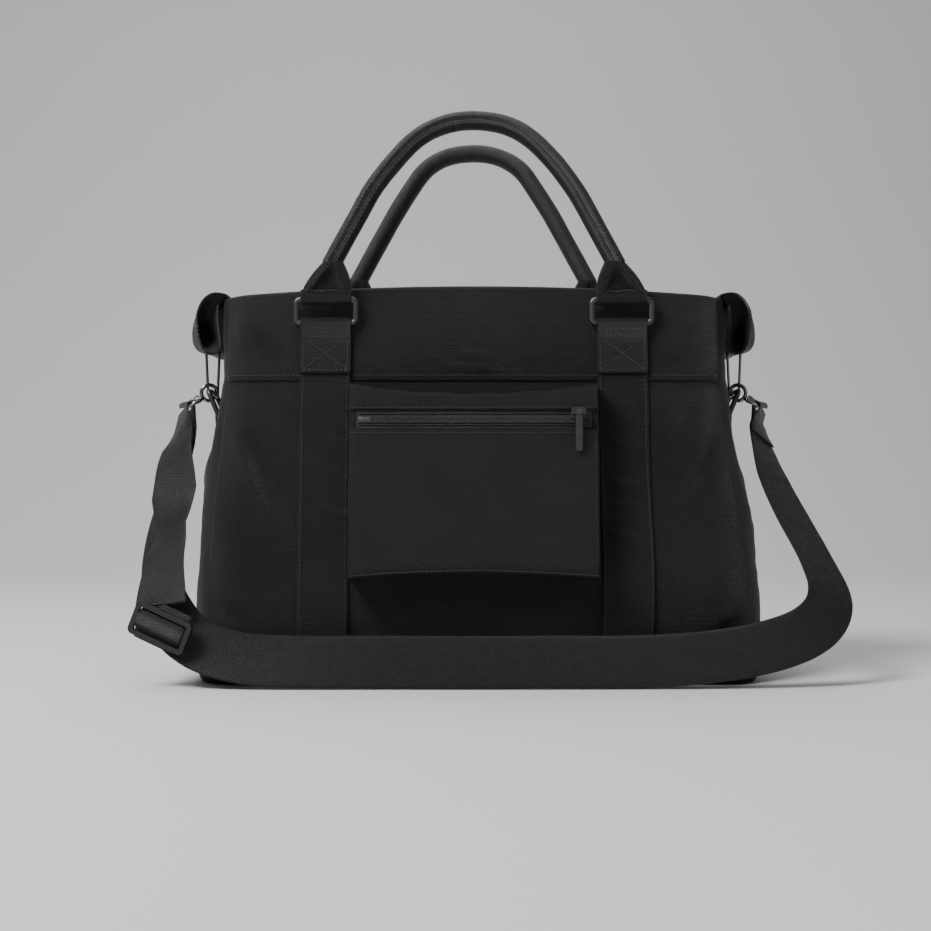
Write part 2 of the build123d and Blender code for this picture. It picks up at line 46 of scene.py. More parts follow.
def grid_piece(name, points, uv=None, closed=False):
    """Quads through an array of points, rows by columns; closed joins the last column to the first."""
    rows, columns = points.shape[:2]
    index = np.arange(rows * columns).reshape(rows, columns)
    right = np.roll(index, -1, axis=1) if closed else index[:, 1:]
    left = index if closed else index[:, :-1]
    quads = np.stack([left[:-1], right[:-1], right[1:], left[1:]], axis=-1).reshape(-1, 4)
    mesh = bpy.data.meshes.new(name)
    mesh.from_pydata(points.reshape(-1, 3).tolist(), [], quads.tolist())
    if uv is not None:
        layer = mesh.uv_layers.new(name="cloth")
        layer.data.foreach_set("uv", uv.reshape(-1, 2)[quads.reshape(-1)].astype(np.float32).reshape(-1))
    mesh.polygons.foreach_set("use_smooth", [True] * len(mesh.polygons))
    piece = bpy.data.objects.new(name, mesh)
    bpy.context.scene.collection.objects.link(piece)
    return piece


sweep_x, sweep_t = np.meshgrid(np.linspace(-3, 3, 31), np.linspace(0, 1, 80))
bend_from, bend_radius = 1.1, 0.9
along = -2.6 + sweep_t * 6.4
turn = np.clip((along - bend_from) / bend_radius, 0, math.pi / 2)
rise = np.maximum(along - bend_from - bend_radius * math.pi / 2, 0)
stage = grid_piece(
    "studio_sweep",
    np.stack(
        [
            sweep_x,
            np.minimum(along, bend_from) + bend_radius * np.sin(turn),
            bend_radius * (1 - np.cos(turn)) + rise,
        ],
        axis=-1,
    ),
)
paper = bpy.data.materials.new("studio_paper")
paper.use_nodes = True
paper_shader = paper.node_tree.nodes["Principled BSDF"]
paper_shader.inputs["Base Color"].default_value = (0.62, 0.62, 0.62, 1)
paper_shader.inputs["Roughness"].default_value = 0.9
stage.data.materials.append(paper)

camera_data = bpy.data.cameras.new("camera")
camera_data.lens = 60.9
camera_data.sensor_width = 36
camera = bpy.data.objects.new("camera", camera_data)
camera.location = (-0.0063, -1.245, 0.161)
camera.rotation_euler = (math.pi / 2, 0, 0)
bpy.context.scene.collection.objects.link(camera)
bpy.context.scene.camera = camera

world = bpy.data.worlds.new("studio")
world.use_nodes = True
world.node_tree.nodes["Background"].inputs["Color"].default_value = (0.75, 0.75, 0.75, 1)
world.node_tree.nodes["Background"].inputs["Strength"].default_value = 0.3
bpy.context.scene.world = world


def soft_box(name, place, aim, size, power):
    """A square area light at one place, facing another."""
    data = bpy.data.lights.new(name, "AREA")
    data.size = size
    data.energy = power
    light = bpy.data.objects.new(name, data)
    light.location = place
    way = np.array(aim) - np.array(place)
    flat = math.hypot(way[0], way[1])
    light.rotation_euler = (math.atan2(flat, -way[2]), 0, math.atan2(way[0], -way[1]) + math.pi)
    bpy.context.scene.collection.objects.link(light)


soft_box("key", (-1.1, -0.95, 1.75), (0, 0, 0.15), 0.75, 62)
soft_box("fill", (1.7, -1.2, 0.9), (0, 0, 0.15), 1.4, 5)
soft_box("top", (-0.2, 0.6, 1.9), (0, 0, 0.2), 1.3, 18)

# Webbing finish: black nylon woven in cross ribs, with a firm selvage. The same weave is used on the
# shoulder strap, the bands and the tabs; the pattern follows each piece's own map, in metres.


def link_math(tree, operation, first, second=None, third=None):
    """A math node whose inputs are sockets or numbers; gives its output socket."""
    node = tree.nodes.new("ShaderNodeMath")
    node.operation = operation
    for slot, value in enumerate((first, second, third)):
        if isinstance(value, (int, float)):
            node.inputs[slot].default_value = value
        elif value is not None:
            tree.links.new(value, node.inputs[slot])
    return node.outputs[0]


def shader_group(name, inputs, outputs):
    """An empty shader node group with float or vector inputs and float outputs."""
    group = bpy.data.node_groups.new(name, "ShaderNodeTree")
    for label, kind, value in inputs:
        made = group.interface.new_socket(label, in_out="INPUT", socket_type=kind)
        if kind == "NodeSocketFloat":
            made.default_value = value
    for label in outputs:
        group.interface.new_socket(label, in_out="OUTPUT", socket_type="NodeSocketFloat")
    return group, group.nodes.new("NodeGroupInput"), group.nodes.new("NodeGroupOutput")


rib_weave, rib_in, rib_out = shader_group(
    "rib_weave",
    [("Map", "NodeSocketVector", None), ("Rib", "NodeSocketFloat", 0.0014)],
    ["Height", "Wear"],
)
rib_split = rib_weave.nodes.new("ShaderNodeSeparateXYZ")
rib_weave.links.new(rib_in.outputs["Map"], rib_split.inputs[0])
rib_row = link_math(rib_weave, "DIVIDE", rib_split.outputs["Y"], rib_in.outputs["Rib"])
rib_column = link_math(rib_weave, "DIVIDE", rib_split.outputs["X"], rib_in.outputs["Rib"])
rib_shift = link_math(rib_weave, "MULTIPLY", link_math(rib_weave, "FLOOR", rib_column), 0.5)
rib_wave = link_math(
    rib_weave,
    "ABSOLUTE",
    link_math(
        rib_weave,
        "SINE",
        link_math(rib_weave, "MULTIPLY", link_math(rib_weave, "ADD", rib_row, rib_shift), math.pi),
    ),
)
rib_yarn = link_math(
    rib_weave, "ABSOLUTE", link_math(rib_weave, "SINE", link_math(rib_weave, "MULTIPLY", rib_column, math.pi))
)
rib_height = link_math(rib_weave, "ADD", rib_wave, link_math(rib_weave, "MULTIPLY", rib_yarn, 0.4))
rib_weave.links.new(rib_height, rib_out.inputs["Height"])
rib_noise = rib_weave.nodes.new("ShaderNodeTexNoise")
rib_noise.inputs["Scale"].default_value = 160
rib_noise.inputs["Detail"].default_value = 5
rib_weave.links.new(rib_in.outputs["Map"], rib_noise.inputs["Vector"])
rib_weave.links.new(rib_noise.outputs["Fac"], rib_out.inputs["Wear"])


def cloth_material(name, weave, colour, light_colour, roughness, bump, distance, sheen, **settings):
    """A Principled cloth: the weave's wear mask varies its colour and roughness, its height the bump."""
    material = bpy.data.materials.new(name)
    material.use_nodes = True
    tree = material.node_tree
    shader = tree.nodes["Principled BSDF"]
    place = tree.nodes.new("ShaderNodeUVMap")
    place.uv_map = "cloth"
    pattern = tree.nodes.new("ShaderNodeGroup")
    pattern.node_tree = weave
    tree.links.new(place.outputs[0], pattern.inputs["Map"])
    for label, value in settings.items():
        pattern.inputs[label].default_value = value
    ramp = tree.nodes.new("ShaderNodeMapRange")
    ramp.inputs["From Min"].default_value = 0.38
    ramp.inputs["From Max"].default_value = 0.62
    tree.links.new(pattern.outputs["Wear"], ramp.inputs["Value"])
    blend = tree.nodes.new("ShaderNodeMix")
    blend.data_type = "RGBA"
    blend.inputs["A"].default_value = (*colour, 1)
    blend.inputs["B"].default_value = (*light_colour, 1)
    tree.links.new(ramp.outputs[0], blend.inputs["Factor"])
    tree.links.new(blend.outputs["Result"], shader.inputs["Base Color"])
    rough = link_math(tree, "MULTIPLY_ADD", ramp.outputs[0], -0.1, roughness)
    tree.links.new(rough, shader.inputs["Roughness"])
    raised = tree.nodes.new("ShaderNodeBump")
    raised.inputs["Strength"].default_value = bump
    raised.inputs["Distance"].default_value = distance
    tree.links.new(pattern.outputs["Height"], raised.inputs["Height"])
    tree.links.new(raised.outputs[0], shader.inputs["Normal"])
    shader.inputs["Sheen Weight"].default_value = sheen
    shader.inputs["Sheen Roughness"].default_value = 0.45
    shader.inputs["Specular IOR Level"].default_value = 0.4
    return material


webbing = cloth_material(
    "webbing", rib_weave, (0.0008, 0.0008, 0.0008), (0.0042, 0.0042, 0.0043), 0.46, 0.7, 0.0006, 0.012,
    Rib=0.0014
)

# Shoulder strap: one length of 38 mm flat webbing. It hangs from the left hook, runs through the slide,
# lies on its edge along the foot of the rear panel and climbs to the right hook, where its end is sewn.
strap_width = 38 * mm
strap_thick = 1.5 * mm
strap_route = [
    (-0.2220, -0.0101, 0.2040),
    (-0.2221, -0.0125, 0.1920),
    (-0.2240, -0.0265, 0.1710),
    (-0.2310, -0.0420, 0.1410),
    (-0.2355, -0.0580, 0.1120),
    (-0.2350, -0.0750, 0.0850),
    (-0.2280, -0.0900, 0.0590),
    (-0.2080, -0.1035, 0.0330),
    (-0.1700, -0.1095, 0.0210),
    (-0.1180, -0.1125, 0.0195),
    (-0.0600, -0.1135, 0.0200),
    (0.0000, -0.1140, 0.0195),
    (0.0600, -0.1135, 0.0200),
    (0.1180, -0.1120, 0.0195),
    (0.1700, -0.1105, 0.0225),
    (0.2160, -0.1070, 0.0300),
    (0.2490, -0.1000, 0.0420),
    (0.2650, -0.0880, 0.0620),
    (0.2550, -0.0720, 0.0920),
    (0.2410, -0.0540, 0.1220),
    (0.2295, -0.0350, 0.1520),
    (0.2240, -0.0210, 0.1790),
    (0.2221, -0.0125, 0.1920),
    (0.2220, -0.0101, 0.2040),
]
# The way from the strap's middle to its inner edge, at each point of the route
strap_inner = [
    (0.34, -0.94, 0.00),
    (0.38, -0.92, 0.05),
    (0.52, -0.85, 0.10),
    (0.64, -0.75, 0.16),
    (0.72, -0.66, 0.20),
    (0.78, -0.50, 0.36),
    (0.74, -0.10, 0.66),
    (0.46, 0.40, 0.79),
    (0.16, 0.34, 0.93),
    (0.03, 0.20, 0.98),
    (0.00, 0.10, 0.99),
    (0.00, 0.08, 1.00),
    (0.00, 0.08, 1.00),
    (0.00, 0.10, 1.00),
    (-0.06, 0.14, 0.98),
    (-0.24, 0.20, 0.94),
    (-0.52, 0.20, 0.80),
    (-0.86, -0.10, 0.48),
    (-0.78, -0.60, 0.02),
    (-0.72, -0.68, -0.10),
    (-0.66, -0.75, -0.08),
    (-0.50, -0.86, -0.02),
    (-0.38, -0.92, 0.00),
    (-0.34, -0.94, 0.00),
]


def route_line(points):
    """Points along the smooth NURBS line that has a route's points as its control points."""
    curve = bpy.data.curves.new("route", "CURVE")
    curve.dimensions = "3D"
    spline = curve.splines.new("NURBS")
    spline.points.add(len(points) - 1)
    spline.points.foreach_set("co", np.c_[np.array(points), np.ones(len(points))].reshape(-1))
    spline.order_u = 3
    spline.use_endpoint_u = True
    curve.resolution_u = 16
    holder = bpy.data.objects.new("route", curve)
    mesh = bpy.data.meshes.new_from_object(holder)
    line = np.empty(3 * len(mesh.vertices))
    mesh.vertices.foreach_get("co", line)
    bpy.data.objects.remove(holder)
    bpy.data.meshes.remove(mesh)
    return line.reshape(-1, 3)


def run_length(line):
    """How far along a line each of its points is."""
    return np.r_[0, np.cumsum(np.linalg.norm(np.diff(line, axis=0), axis=1))]


def even_line(line, step):
    """The same line with its points an even step apart."""
    far = run_length(line)
    places = np.linspace(0, far[-1], max(2, int(round(far[-1] / step)) + 1))
    return np.stack([np.interp(places, far, line[:, axis]) for axis in range(3)], axis=-1)


def unit(vectors):
    return vectors / np.linalg.norm(vectors, axis=-1, keepdims=True)


def carried_points(line, across, section):
    """A profile carried along a line. across gives the profile's x at each point of the line, and its y is
    across x tangent; section is (points of the line or 1, points of the profile, 2), in metres."""
    tangent = unit(np.gradient(line, axis=0))
    across = unit(across - tangent * np.sum(across * tangent, axis=1, keepdims=True))
    normal = np.cross(across, tangent)
    section = np.broadcast_to(section, (len(line), section.shape[-2], 2))
    return line[:, None] + across[:, None] * section[..., :1] + normal[:, None] * section[..., 1:]


def solid_piece(name, points, section, far):
    """A closed piece from rings of points: quads between the rings and one face over each end. Its map is the
    profile's x and the way along."""
    rows, columns = points.shape[:2]
    around = np.broadcast_to(section[..., 0], (rows, columns))
    uv = np.stack([around, np.broadcast_to(far[:, None], around.shape)], axis=-1).reshape(-1, 2)
    index = np.arange(rows * columns).reshape(rows, columns)
    right = np.roll(index, -1, axis=1)
    quads = np.stack([index[:-1], right[:-1], right[1:], index[1:]], axis=-1).reshape(-1, 4)
    ends = [index[0, ::-1].tolist(), index[-1].tolist()]
    mesh = bpy.data.meshes.new(name)
    mesh.from_pydata(points.reshape(-1, 3).tolist(), [], quads.tolist() + ends)
    loops = np.concatenate([quads.reshape(-1), *ends]).astype(np.int64)
    mesh.uv_layers.new(name="cloth").data.foreach_set("uv", uv[loops].astype(np.float32).reshape(-1))
    mesh.polygons.foreach_set("use_smooth", [True] * len(quads) + [False, False])
    piece = bpy.data.objects.new(name, mesh)
    bpy.context.scene.collection.objects.link(piece)
    face_outwards(piece)
    return piece


def carried(name, line, across, section):
    """A closed piece: a profile carried along a line."""
    return solid_piece(name, carried_points(line, across, section), section, run_length(line))


def face_outwards(piece):
    """Turns a closed piece's faces to point away from its inside."""
    work = bmesh.new()
    work.from_mesh(piece.data)
    bmesh.ops.recalc_face_normals(work, faces=work.faces)
    work.to_mesh(piece.data)
    work.free()


def webbing_section(width, thick, points=15):
    """A flat webbing's profile: two faces a thickness apart, round edges and a slightly fuller selvage."""
    place = np.cos(np.linspace(0, math.pi, points))
    half = thick / 2 * np.sqrt(np.clip(1 - place**16, 0, 1)) * (1 + 0.12 * place**8)
    top = np.stack([place * width / 2, half], axis=-1)
    return np.concatenate([top, top[-2:0:-1] * [1, -1]])


def keyed(line, route, ways):
    """Directions given at a route's points, spread smoothly over the line that follows it."""
    route = np.array(route)
    nearest = np.argmin(np.linalg.norm(line[None] - route[:, None], axis=2), axis=1)
    nearest[0], nearest[-1] = 0, len(line) - 1
    far = run_length(line)
    ways = unit(np.array(ways))
    return unit(np.stack([np.interp(far, far[nearest], ways[:, axis]) for axis in range(3)], axis=-1))


strap_line = even_line(route_line(strap_route), 2.5 * mm)
strap_ways = keyed(strap_line, strap_route, strap_inner)
strap = carried(
    "shoulder_strap_webbing", strap_line, strap_ways, webbing_section(strap_width, strap_thick)[None]
)
strap.data.materials.append(webbing)
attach(strap, "bag")
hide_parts("shoulder_strap")

# The strap's doubled length: past the left strap loop the webbing comes back down outside itself, twists a
# little, and ends sewn round the middle bar of the three-bar slide.
fold_route = [
    (-0.2272, -0.0121, 0.2040),
    (-0.2278, -0.0145, 0.1910),
    (-0.2305, -0.0370, 0.1710),
    (-0.2250, -0.0620, 0.1410),
    (-0.2230, -0.0800, 0.1130),
    (-0.2280, -0.0970, 0.0860),
    (-0.2265, -0.1060, 0.0600),
]
fold_inner = [
    (0.34, -0.94, 0.00),
    (0.40, -0.91, 0.05),
    (0.66, -0.75, 0.00),
    (0.93, -0.34, 0.14),
    (0.60, -0.80, 0.00),
    (0.80, -0.58, -0.20),
    (0.898, -0.225, -0.377),
]
doubled_line = even_line(route_line(fold_route), 2.5 * mm)
doubled_ways = keyed(doubled_line, fold_route, fold_inner)
fold_section = webbing_section(strap_width, strap_thick)[None]
fold = carried("doubled_strap_webbing", doubled_line, doubled_ways, fold_section)
fold.data.materials.append(webbing)
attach(fold, "bag")
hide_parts("strap_fold")


def turned_webbing(name, line, ways):
    """A short piece of the strap's webbing along a line, with its edge way at each of the line's points."""
    piece = carried(name, line, ways, webbing_section(strap_width, strap_thick)[None])
    piece.data.materials.append(webbing)
    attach(piece, "bag")


# The strap's turns: a half round of webbing over each strap loop's far bar, from the inner run to the outer.
turn_radius = 2.55 * mm
for side, name in ((-1, "left_loop_turn"), (1, "right_loop_turn")):
    bar = np.array([side * 0.2246, -0.0111, 0.20785])
    loop_out = np.array([side * 0.94, -0.34, 0.0])
    turn = np.linspace(-0.2, 1.2, 29)[:, None] * math.pi
    level = np.where((turn < 0) | (turn > math.pi), -np.abs(np.sin(turn)), np.sin(turn))
    sweep_line = bar + loop_out * -np.clip(np.cos(turn), -1, 1) * turn_radius + [0, 0, turn_radius] * level
    turned_webbing(name, sweep_line, np.broadcast_to([-side * 0.34, -0.94, 0.0], sweep_line.shape))

# The strap's right end: 25 mm of webbing doubled back outside the strap below its loop.
end_run = slice(-1, -12, -1)
strap_along = unit(np.gradient(strap_line, axis=0))
strap_face = unit(np.cross(strap_ways, strap_along))
end_side = np.sign(np.sum(strap_face[-1] * [0.94, -0.34, 0.0]))
gap_at_loop, gap_on_strap = 4.9, 1.62
end_gap = np.interp(np.arange(11), [0, 3], [gap_at_loop, gap_on_strap])[:, None] * mm
end_line = strap_line[end_run] + strap_face[end_run] * end_side * end_gap
turned_webbing("strap_sewn_end", end_line, strap_ways[end_run])

# The doubled length's turn round the slide's middle bar
slide_middle = np.array([-0.226, -0.1085, 0.044])
slide_out = np.array([-0.2425, -0.970, 0.0])
slide_up = np.array([0.366, -0.0915, 0.9256])
slide_way = (0.898, -0.225, -0.377)
wrap = [
    (-2.8, 16),
    (-2.6, 11),
    (-0.4, 7.4),
    (3.4, 5.0),
    (3.9, 0),
    (3.4, -5.0),
    (-0.4, -7.4),
    (-2.8, -11),
    (-3.6, -15),
]
wrap_route = [tuple(slide_middle + slide_out * out * mm + slide_up * up * mm) for out, up in wrap]
slide_turn = even_line(route_line(wrap_route), 1.0 * mm)
turned_webbing("slide_turn", slide_turn, np.broadcast_to(slide_way, slide_turn.shape))

# Body cloth: black satin nylon, cut as a front and a rear panel, two collars and two gussets, sewn
# at the corners and along a level seam. All walls take their place and their folds from one shape.
wall_levels = mm * np.array(
    [
        (-40, 206, 93, 28),
        (60, 206, 93, 29),
        (140, 201, 81.024, 29),
        (227, 192, 68, 28),
        (289, 192.5, 54, 26),
        (330, 192, 44.7, 26),
    ]
)
base_rounding = 8 * mm
base_draw = 5 * mm
seam_height = 227 * mm
rim_height, rim_arch = 289 * mm, 8 * mm
wall_turns = {"rear": 0, "right": 1, "front": 2, "left": 3}
rear_band_x, front_band_x = 111 * mm, 100 * mm


def wall_sizes(z):
    """Half width, half depth and corner radius at heights z: straight runs between the levels, averaged over
    28 mm; within 8 mm of the floor both half sizes draw in along a quarter ellipse."""
    near = np.asarray(z)[..., None] + np.linspace(-14, 14, 9) * mm
    half_width, half_depth, corner = (
        np.interp(near, wall_levels[:, 0], wall_levels[:, c]).mean(-1) for c in (1, 2, 3)
    )
    foot = base_draw * (1 - np.sqrt(1 - np.clip(1 - np.asarray(z) / base_rounding, 0, 1) ** 2))
    return half_width - foot, half_depth - foot, corner


def wall_reach(wall, z):
    """From a wall's middle to its corner seam along the cloth: the flat half and half the corner's arc."""
    half_width, half_depth, corner = wall_sizes(z)
    long = half_width if wall in ("rear", "front") else half_depth
    return long - corner + corner * math.pi / 4


def slumped(x, z):
    """The bag's right side hangs out 7 mm lower down: a smooth step in height by the square of the reach."""
    low = np.clip((188 * mm - z) / (110 * mm), 0, 1)
    return x + 7 * mm * low * low * (3 - 2 * low) * np.clip(x / (206 * mm), 0, 1.1) ** 2


def turned(wall, along, outward, z):
    """Points given along and outward from the bag's middle, turned to the side that a wall is on."""
    turn = wall_turns[wall] * math.pi / 2
    x = along * math.cos(turn) + outward * math.sin(turn)
    y = along * math.sin(turn) - outward * math.cos(turn)
    return np.stack([slumped(x, z), y, np.broadcast_to(z, x.shape)], axis=-1)


def wall_point(wall, s, z, out=0.0):
    """A point of a wall: s along the cloth from its middle, flat first and then round the corner's arc, at
    height z and out from the plain shape."""
    half_width, half_depth, corner = wall_sizes(z)
    long, deep = (half_width, half_depth) if wall in ("rear", "front") else (half_depth, half_width)
    flat = long - corner
    angle = np.clip((np.abs(s) - flat) / corner, 0, math.pi / 2)
    along = np.sign(s) * (np.minimum(np.abs(s), flat) + (corner + out) * np.sin(angle))
    return turned(wall, along, deep - corner + (corner + out) * np.cos(angle), z)


def fold_line(s, z, start, end, width, height):
    """A fold: a bell across the line from start to end, in mm, that fades in and out along it."""
    start, end = np.array(start) * mm, np.array(end) * mm
    way = end - start
    length = math.hypot(*way)
    along = np.clip(((s - start[0]) * way[0] + (z - start[1]) * way[1]) / length**2, 0, 1)
    off = ((s - start[0]) * way[1] - (z - start[1]) * way[0]) / length / (width * mm)
    return height * mm * (4 * along * (1 - along)) ** 0.7 * np.exp(-(off**2))


def drape(s, z, seed, shortest, longest, height):
    """Slow waves of cloth: twenty sine waves with seeded directions and phases, longer ones higher."""
    draw = np.random.default_rng(seed)
    length = draw.uniform(shortest, longest, 20) * mm
    heading = draw.uniform(0, math.pi, 20)
    phase = draw.uniform(0, 2 * math.pi, 20)
    size = length / length.sum()
    wave = [
        k * np.sin((s * math.cos(h) + z * math.sin(h)) * 2 * math.pi / l + p)
        for k, h, l, p in zip(size, heading, length, phase)
    ]
    return height * mm * sum(wave) * 2.2


wall_folds = {
    "rear": [
        ((176, 282), (148, 240), 8, 2.0),
        ((165, 266), (138, 228), 10, -1.1),
        ((-184, 287), (-172, 248), 5, 2.4),
        ((-176, 262), (-140, 236), 8, -1.2),
        ((-184, 190), (-149, 117), 5, 2.2),
        ((-170, 190), (-140, 122), 6, -1.4),
        ((-150, 152), (-132, 96), 5, 1.4),
        ((-203, 45), (-158, 20), 6, 2.2),
        ((-196, 66), (-150, 52), 8, -1.2),
        ((168, 30), (204, 58), 7, -2.6),
        ((150, 20), (200, 38), 6, 2.0),
        ((196, 222), (150, 150), 12, 1.6),
        ((188, 180), (146, 110), 10, -1.6),
        ((160, 216), (140, 180), 5, 1.2),
        ((-112, 182), (-92, 176), 2.6, 1.2),
        ((-112, 160), (-90, 149), 2.8, 1.1),
        ((-112, 131), (-90, 122), 2.6, 1.0),
        ((103, 184), (124, 176), 2.8, 1.2),
        ((100, 156), (122, 146), 2.6, 1.3),
        ((101, 138), (120, 130), 2.4, 1.1),
        ((98, 118), (118, 109), 2.6, 1.2),
        ((-24, 236), (22, 233), 3.0, 1.4),
        ((-14, 246), (18, 241), 4.0, 0.9),
    ],
    "front": [
        ((-180, 280), (-142, 236), 7, 2.4),
        ((178, 276), (150, 238), 7, 2.0),
        ((186, 190), (142, 118), 7, 2.0),
        ((-190, 160), (-140, 110), 9, 1.8),
        ((-70, 190), (-30, 120), 10, 1.6),
        ((60, 150), (20, 70), 12, 1.4),
        ((-200, 30), (-150, 22), 6, 1.8),
        ((200, 40), (156, 22), 6, 2.0),
        ((-30, 240), (30, 236), 4, 1.0),
    ],
    "left": [
        ((-60, 120), (-10, 60), 9, 2.0),
        ((50, 170), (10, 110), 8, 1.8),
        ((-40, 240), (0, 205), 6, 1.6),
        ((66, 40), (20, 24), 8, 1.6),
    ],
    "right": [
        ((60, 130), (12, 66), 9, 2.0),
        ((-50, 160), (-14, 100), 8, 1.8),
        ((36, 236), (6, 206), 6, 1.6),
        ((-64, 36), (-18, 22), 8, 1.6),
    ],
}
wall_seeds = {"rear": 4, "front": 9, "left": 15, "right": 21}


def swell(wall, s, z):
    """How far a wall's cloth stands out: a soft bulge between its seams, its folds and slow waves, all of
    which die out at the corner seams, the base and the rim, less a pinch along the level seam."""
    reach = wall_reach(wall, z)
    inner = np.clip((reach - np.abs(s)) / (26 * mm), 0, 1)
    inner = inner * inner * (3 - 2 * inner)
    low = np.clip((z - 3 * mm) / (30 * mm), 0, 1)
    high = np.clip((rim_height - 14 * mm - z) / (40 * mm), 0, 1)
    across = np.clip(1 - (s / reach) ** 2, 0, 1)
    bulge = 3.4 * mm * across**0.5 * np.sin(math.pi * np.clip(z / seam_height, 0, 1)) ** 0.8
    bulge = np.where(z < seam_height, bulge, 0)
    folds = 2.1 * sum(fold_line(s, z, *fold) for fold in wall_folds[wall])
    waves = drape(s, z, wall_seeds[wall], 34, 120, 2.5) + drape(s, z, wall_seeds[wall] + 1, 8, 19, 0.3)
    pinch = 0.7 * mm * np.exp(-(((z - seam_height) / (5 * mm)) ** 2))
    near_rim = np.clip((rim_height + 2 * mm - z) / (20 * mm), 0, 1)
    return bulge * inner * low + folds * inner * near_rim + waves * inner * low * (0.2 + 0.8 * high) - pinch


twill, twill_in, twill_out = shader_group(
    "satin_twill",
    [("Map", "NodeSocketVector", None), ("Yarn", "NodeSocketFloat", 0.0008)],
    ["Height", "Wear"],
)
twill_split = twill.nodes.new("ShaderNodeSeparateXYZ")
twill.links.new(twill_in.outputs["Map"], twill_split.inputs[0])
twill_x = link_math(twill, "DIVIDE", twill_split.outputs["X"], twill_in.outputs["Yarn"])
twill_y = link_math(twill, "DIVIDE", twill_split.outputs["Y"], twill_in.outputs["Yarn"])
twill_step = link_math(twill, "ADD", twill_x, link_math(twill, "MULTIPLY", twill_y, 0.5))
twill_wave = link_math(twill, "SINE", link_math(twill, "MULTIPLY", twill_step, 2 * math.pi))
twill_weft = link_math(twill, "SINE", link_math(twill, "MULTIPLY", twill_y, 2 * math.pi))
twill_grain = twill.nodes.new("ShaderNodeTexNoise")
twill_grain.inputs["Scale"].default_value = 900
twill_grain.inputs["Detail"].default_value = 3
twill.links.new(twill_in.outputs["Map"], twill_grain.inputs["Vector"])
twill_cloud = twill.nodes.new("ShaderNodeTexNoise")
twill_cloud.inputs["Scale"].default_value = 22
twill_cloud.inputs["Detail"].default_value = 4
twill.links.new(twill_in.outputs["Map"], twill_cloud.inputs["Vector"])
twill_yarns = link_math(twill, "ADD", twill_wave, link_math(twill, "MULTIPLY", twill_weft, 0.5))
twill_height = link_math(twill, "MULTIPLY_ADD", twill_grain.outputs["Fac"], 6.0, twill_yarns)
twill.links.new(twill_height, twill_out.inputs["Height"])
twill_mix = link_math(
    twill,
    "MULTIPLY_ADD",
    twill_grain.outputs["Fac"],
    0.7,
    link_math(twill, "MULTIPLY", twill_cloud.outputs["Fac"], 0.3),
)
twill.links.new(twill_mix, twill_out.inputs["Wear"])
nylon = cloth_material(
    "black_nylon",
    twill,
    (0.0006, 0.0006, 0.0006),
    (0.016, 0.016, 0.0165),
    0.46,
    0.9,
    0.001,
    0.03,
    Yarn=0.0009,
)


def thicken(piece, thick, offset=-1.0):
    """Gives an open sheet its thickness, inwards from its outer face."""
    solid = piece.modifiers.new("thickness", "SOLIDIFY")
    solid.thickness = thick
    solid.offset = offset


def finish(piece, material, body, slot, *nodes):
    """A piece's material, the body it rides on and the CAD nodes it stands for; slot, its finish in the
    record, is not used.
    """
    piece.data.materials.append(material)
    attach(piece, body)
    if nodes:
        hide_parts(*nodes)


def wall_grid(wall, heights, out, columns):
    """Rows of points of a wall at heights and distances out, each one row or a whole grid."""
    share = np.linspace(-1, 1, columns)[None]
    heights = np.broadcast_to(heights, (len(heights), columns))
    out = np.broadcast_to(out, heights.shape)
    s = share * wall_reach(wall, heights)
    return wall_point(wall, s, heights, out + swell(wall, s, heights)), np.stack([s, heights], axis=-1)


cloth_thick = 1.6 * mm
panel_heights = np.linspace(1.5 * mm, seam_height + 1.5 * mm, 92)[:, None]
for wall in ("rear", "front", "left", "right"):
    side = wall in ("left", "right")
    columns = 76 if side else 176
    if side:
        heights = np.linspace(1.5 * mm, rim_height - 2 * mm, 116)[:, None]
        roll = np.linspace(0, math.pi, 8)[1:, None]
        heights = np.r_[heights, rim_height - 2 * mm + 2 * mm * np.sin(roll), [[rim_height - 10 * mm]]]
        out = np.r_[np.zeros((116, 1)), -2 * mm * (1 - np.cos(roll)), [[-4.4 * mm]]]
    else:
        heights, out = panel_heights, np.zeros_like(panel_heights)
    points, flat = wall_grid(wall, heights, out, columns)
    panel = grid_piece(f"{wall}_gusset_cloth" if side else f"{wall}_panel_cloth", points, flat)
    thicken(panel, cloth_thick)
    finish(panel, nylon, "bag", "nylon_cloth", f"{wall}_gusset" if side else f"{wall}_panel")

# Collars: the upper strips of the front and rear. Each laps 4 mm over the panel below, and its top
# edge is rolled inwards into the mouth's arched rim.
collar_low = seam_height - 2.5 * mm
collar_proud = 1.1 * mm
roll_radius = 2.4 * mm


def rim_at(s):
    """The rim's height: highest in the middle and falling off with the square of the way along."""
    return rim_height + rim_arch * (1 - np.clip(np.abs(s) / (188 * mm), 0, 1) ** 2)


for wall in ("rear", "front"):
    columns = 176
    share = np.linspace(-1, 1, columns)[None]
    climb = np.linspace(0, 1, 34)[:, None]
    top = rim_at(share * 188 * mm) - roll_radius
    roll = np.linspace(0, math.pi, 9)[1:, None]
    heights = np.r_[
        collar_low + climb * (top - collar_low), top + roll_radius * np.sin(roll), top - 12 * mm + 0 * share
    ]
    proud = collar_proud * np.ones((34, 1)) * (1 - 0.4 * climb)
    out = np.r_[
        proud + 0 * share,
        0.6 * collar_proud - roll_radius * (1 - np.cos(roll)) + 0 * share,
        0 * share - 4.6 * mm,
    ]
    s = share * wall_reach(wall, heights)
    points = wall_point(wall, s, heights, out + swell(wall, s, heights))
    collar = grid_piece(f"{wall}_collar_cloth", points, np.stack([s, heights], axis=-1))
    thicken(collar, cloth_thick)
    finish(collar, nylon, "bag", "nylon_cloth", f"{wall}_collar")

# Base: one cloth panel under the bag, sewn to the walls all round inside the rounded edge.
base_x, base_y = np.meshgrid(np.linspace(-1, 1, 80), np.linspace(1, -1, 44))


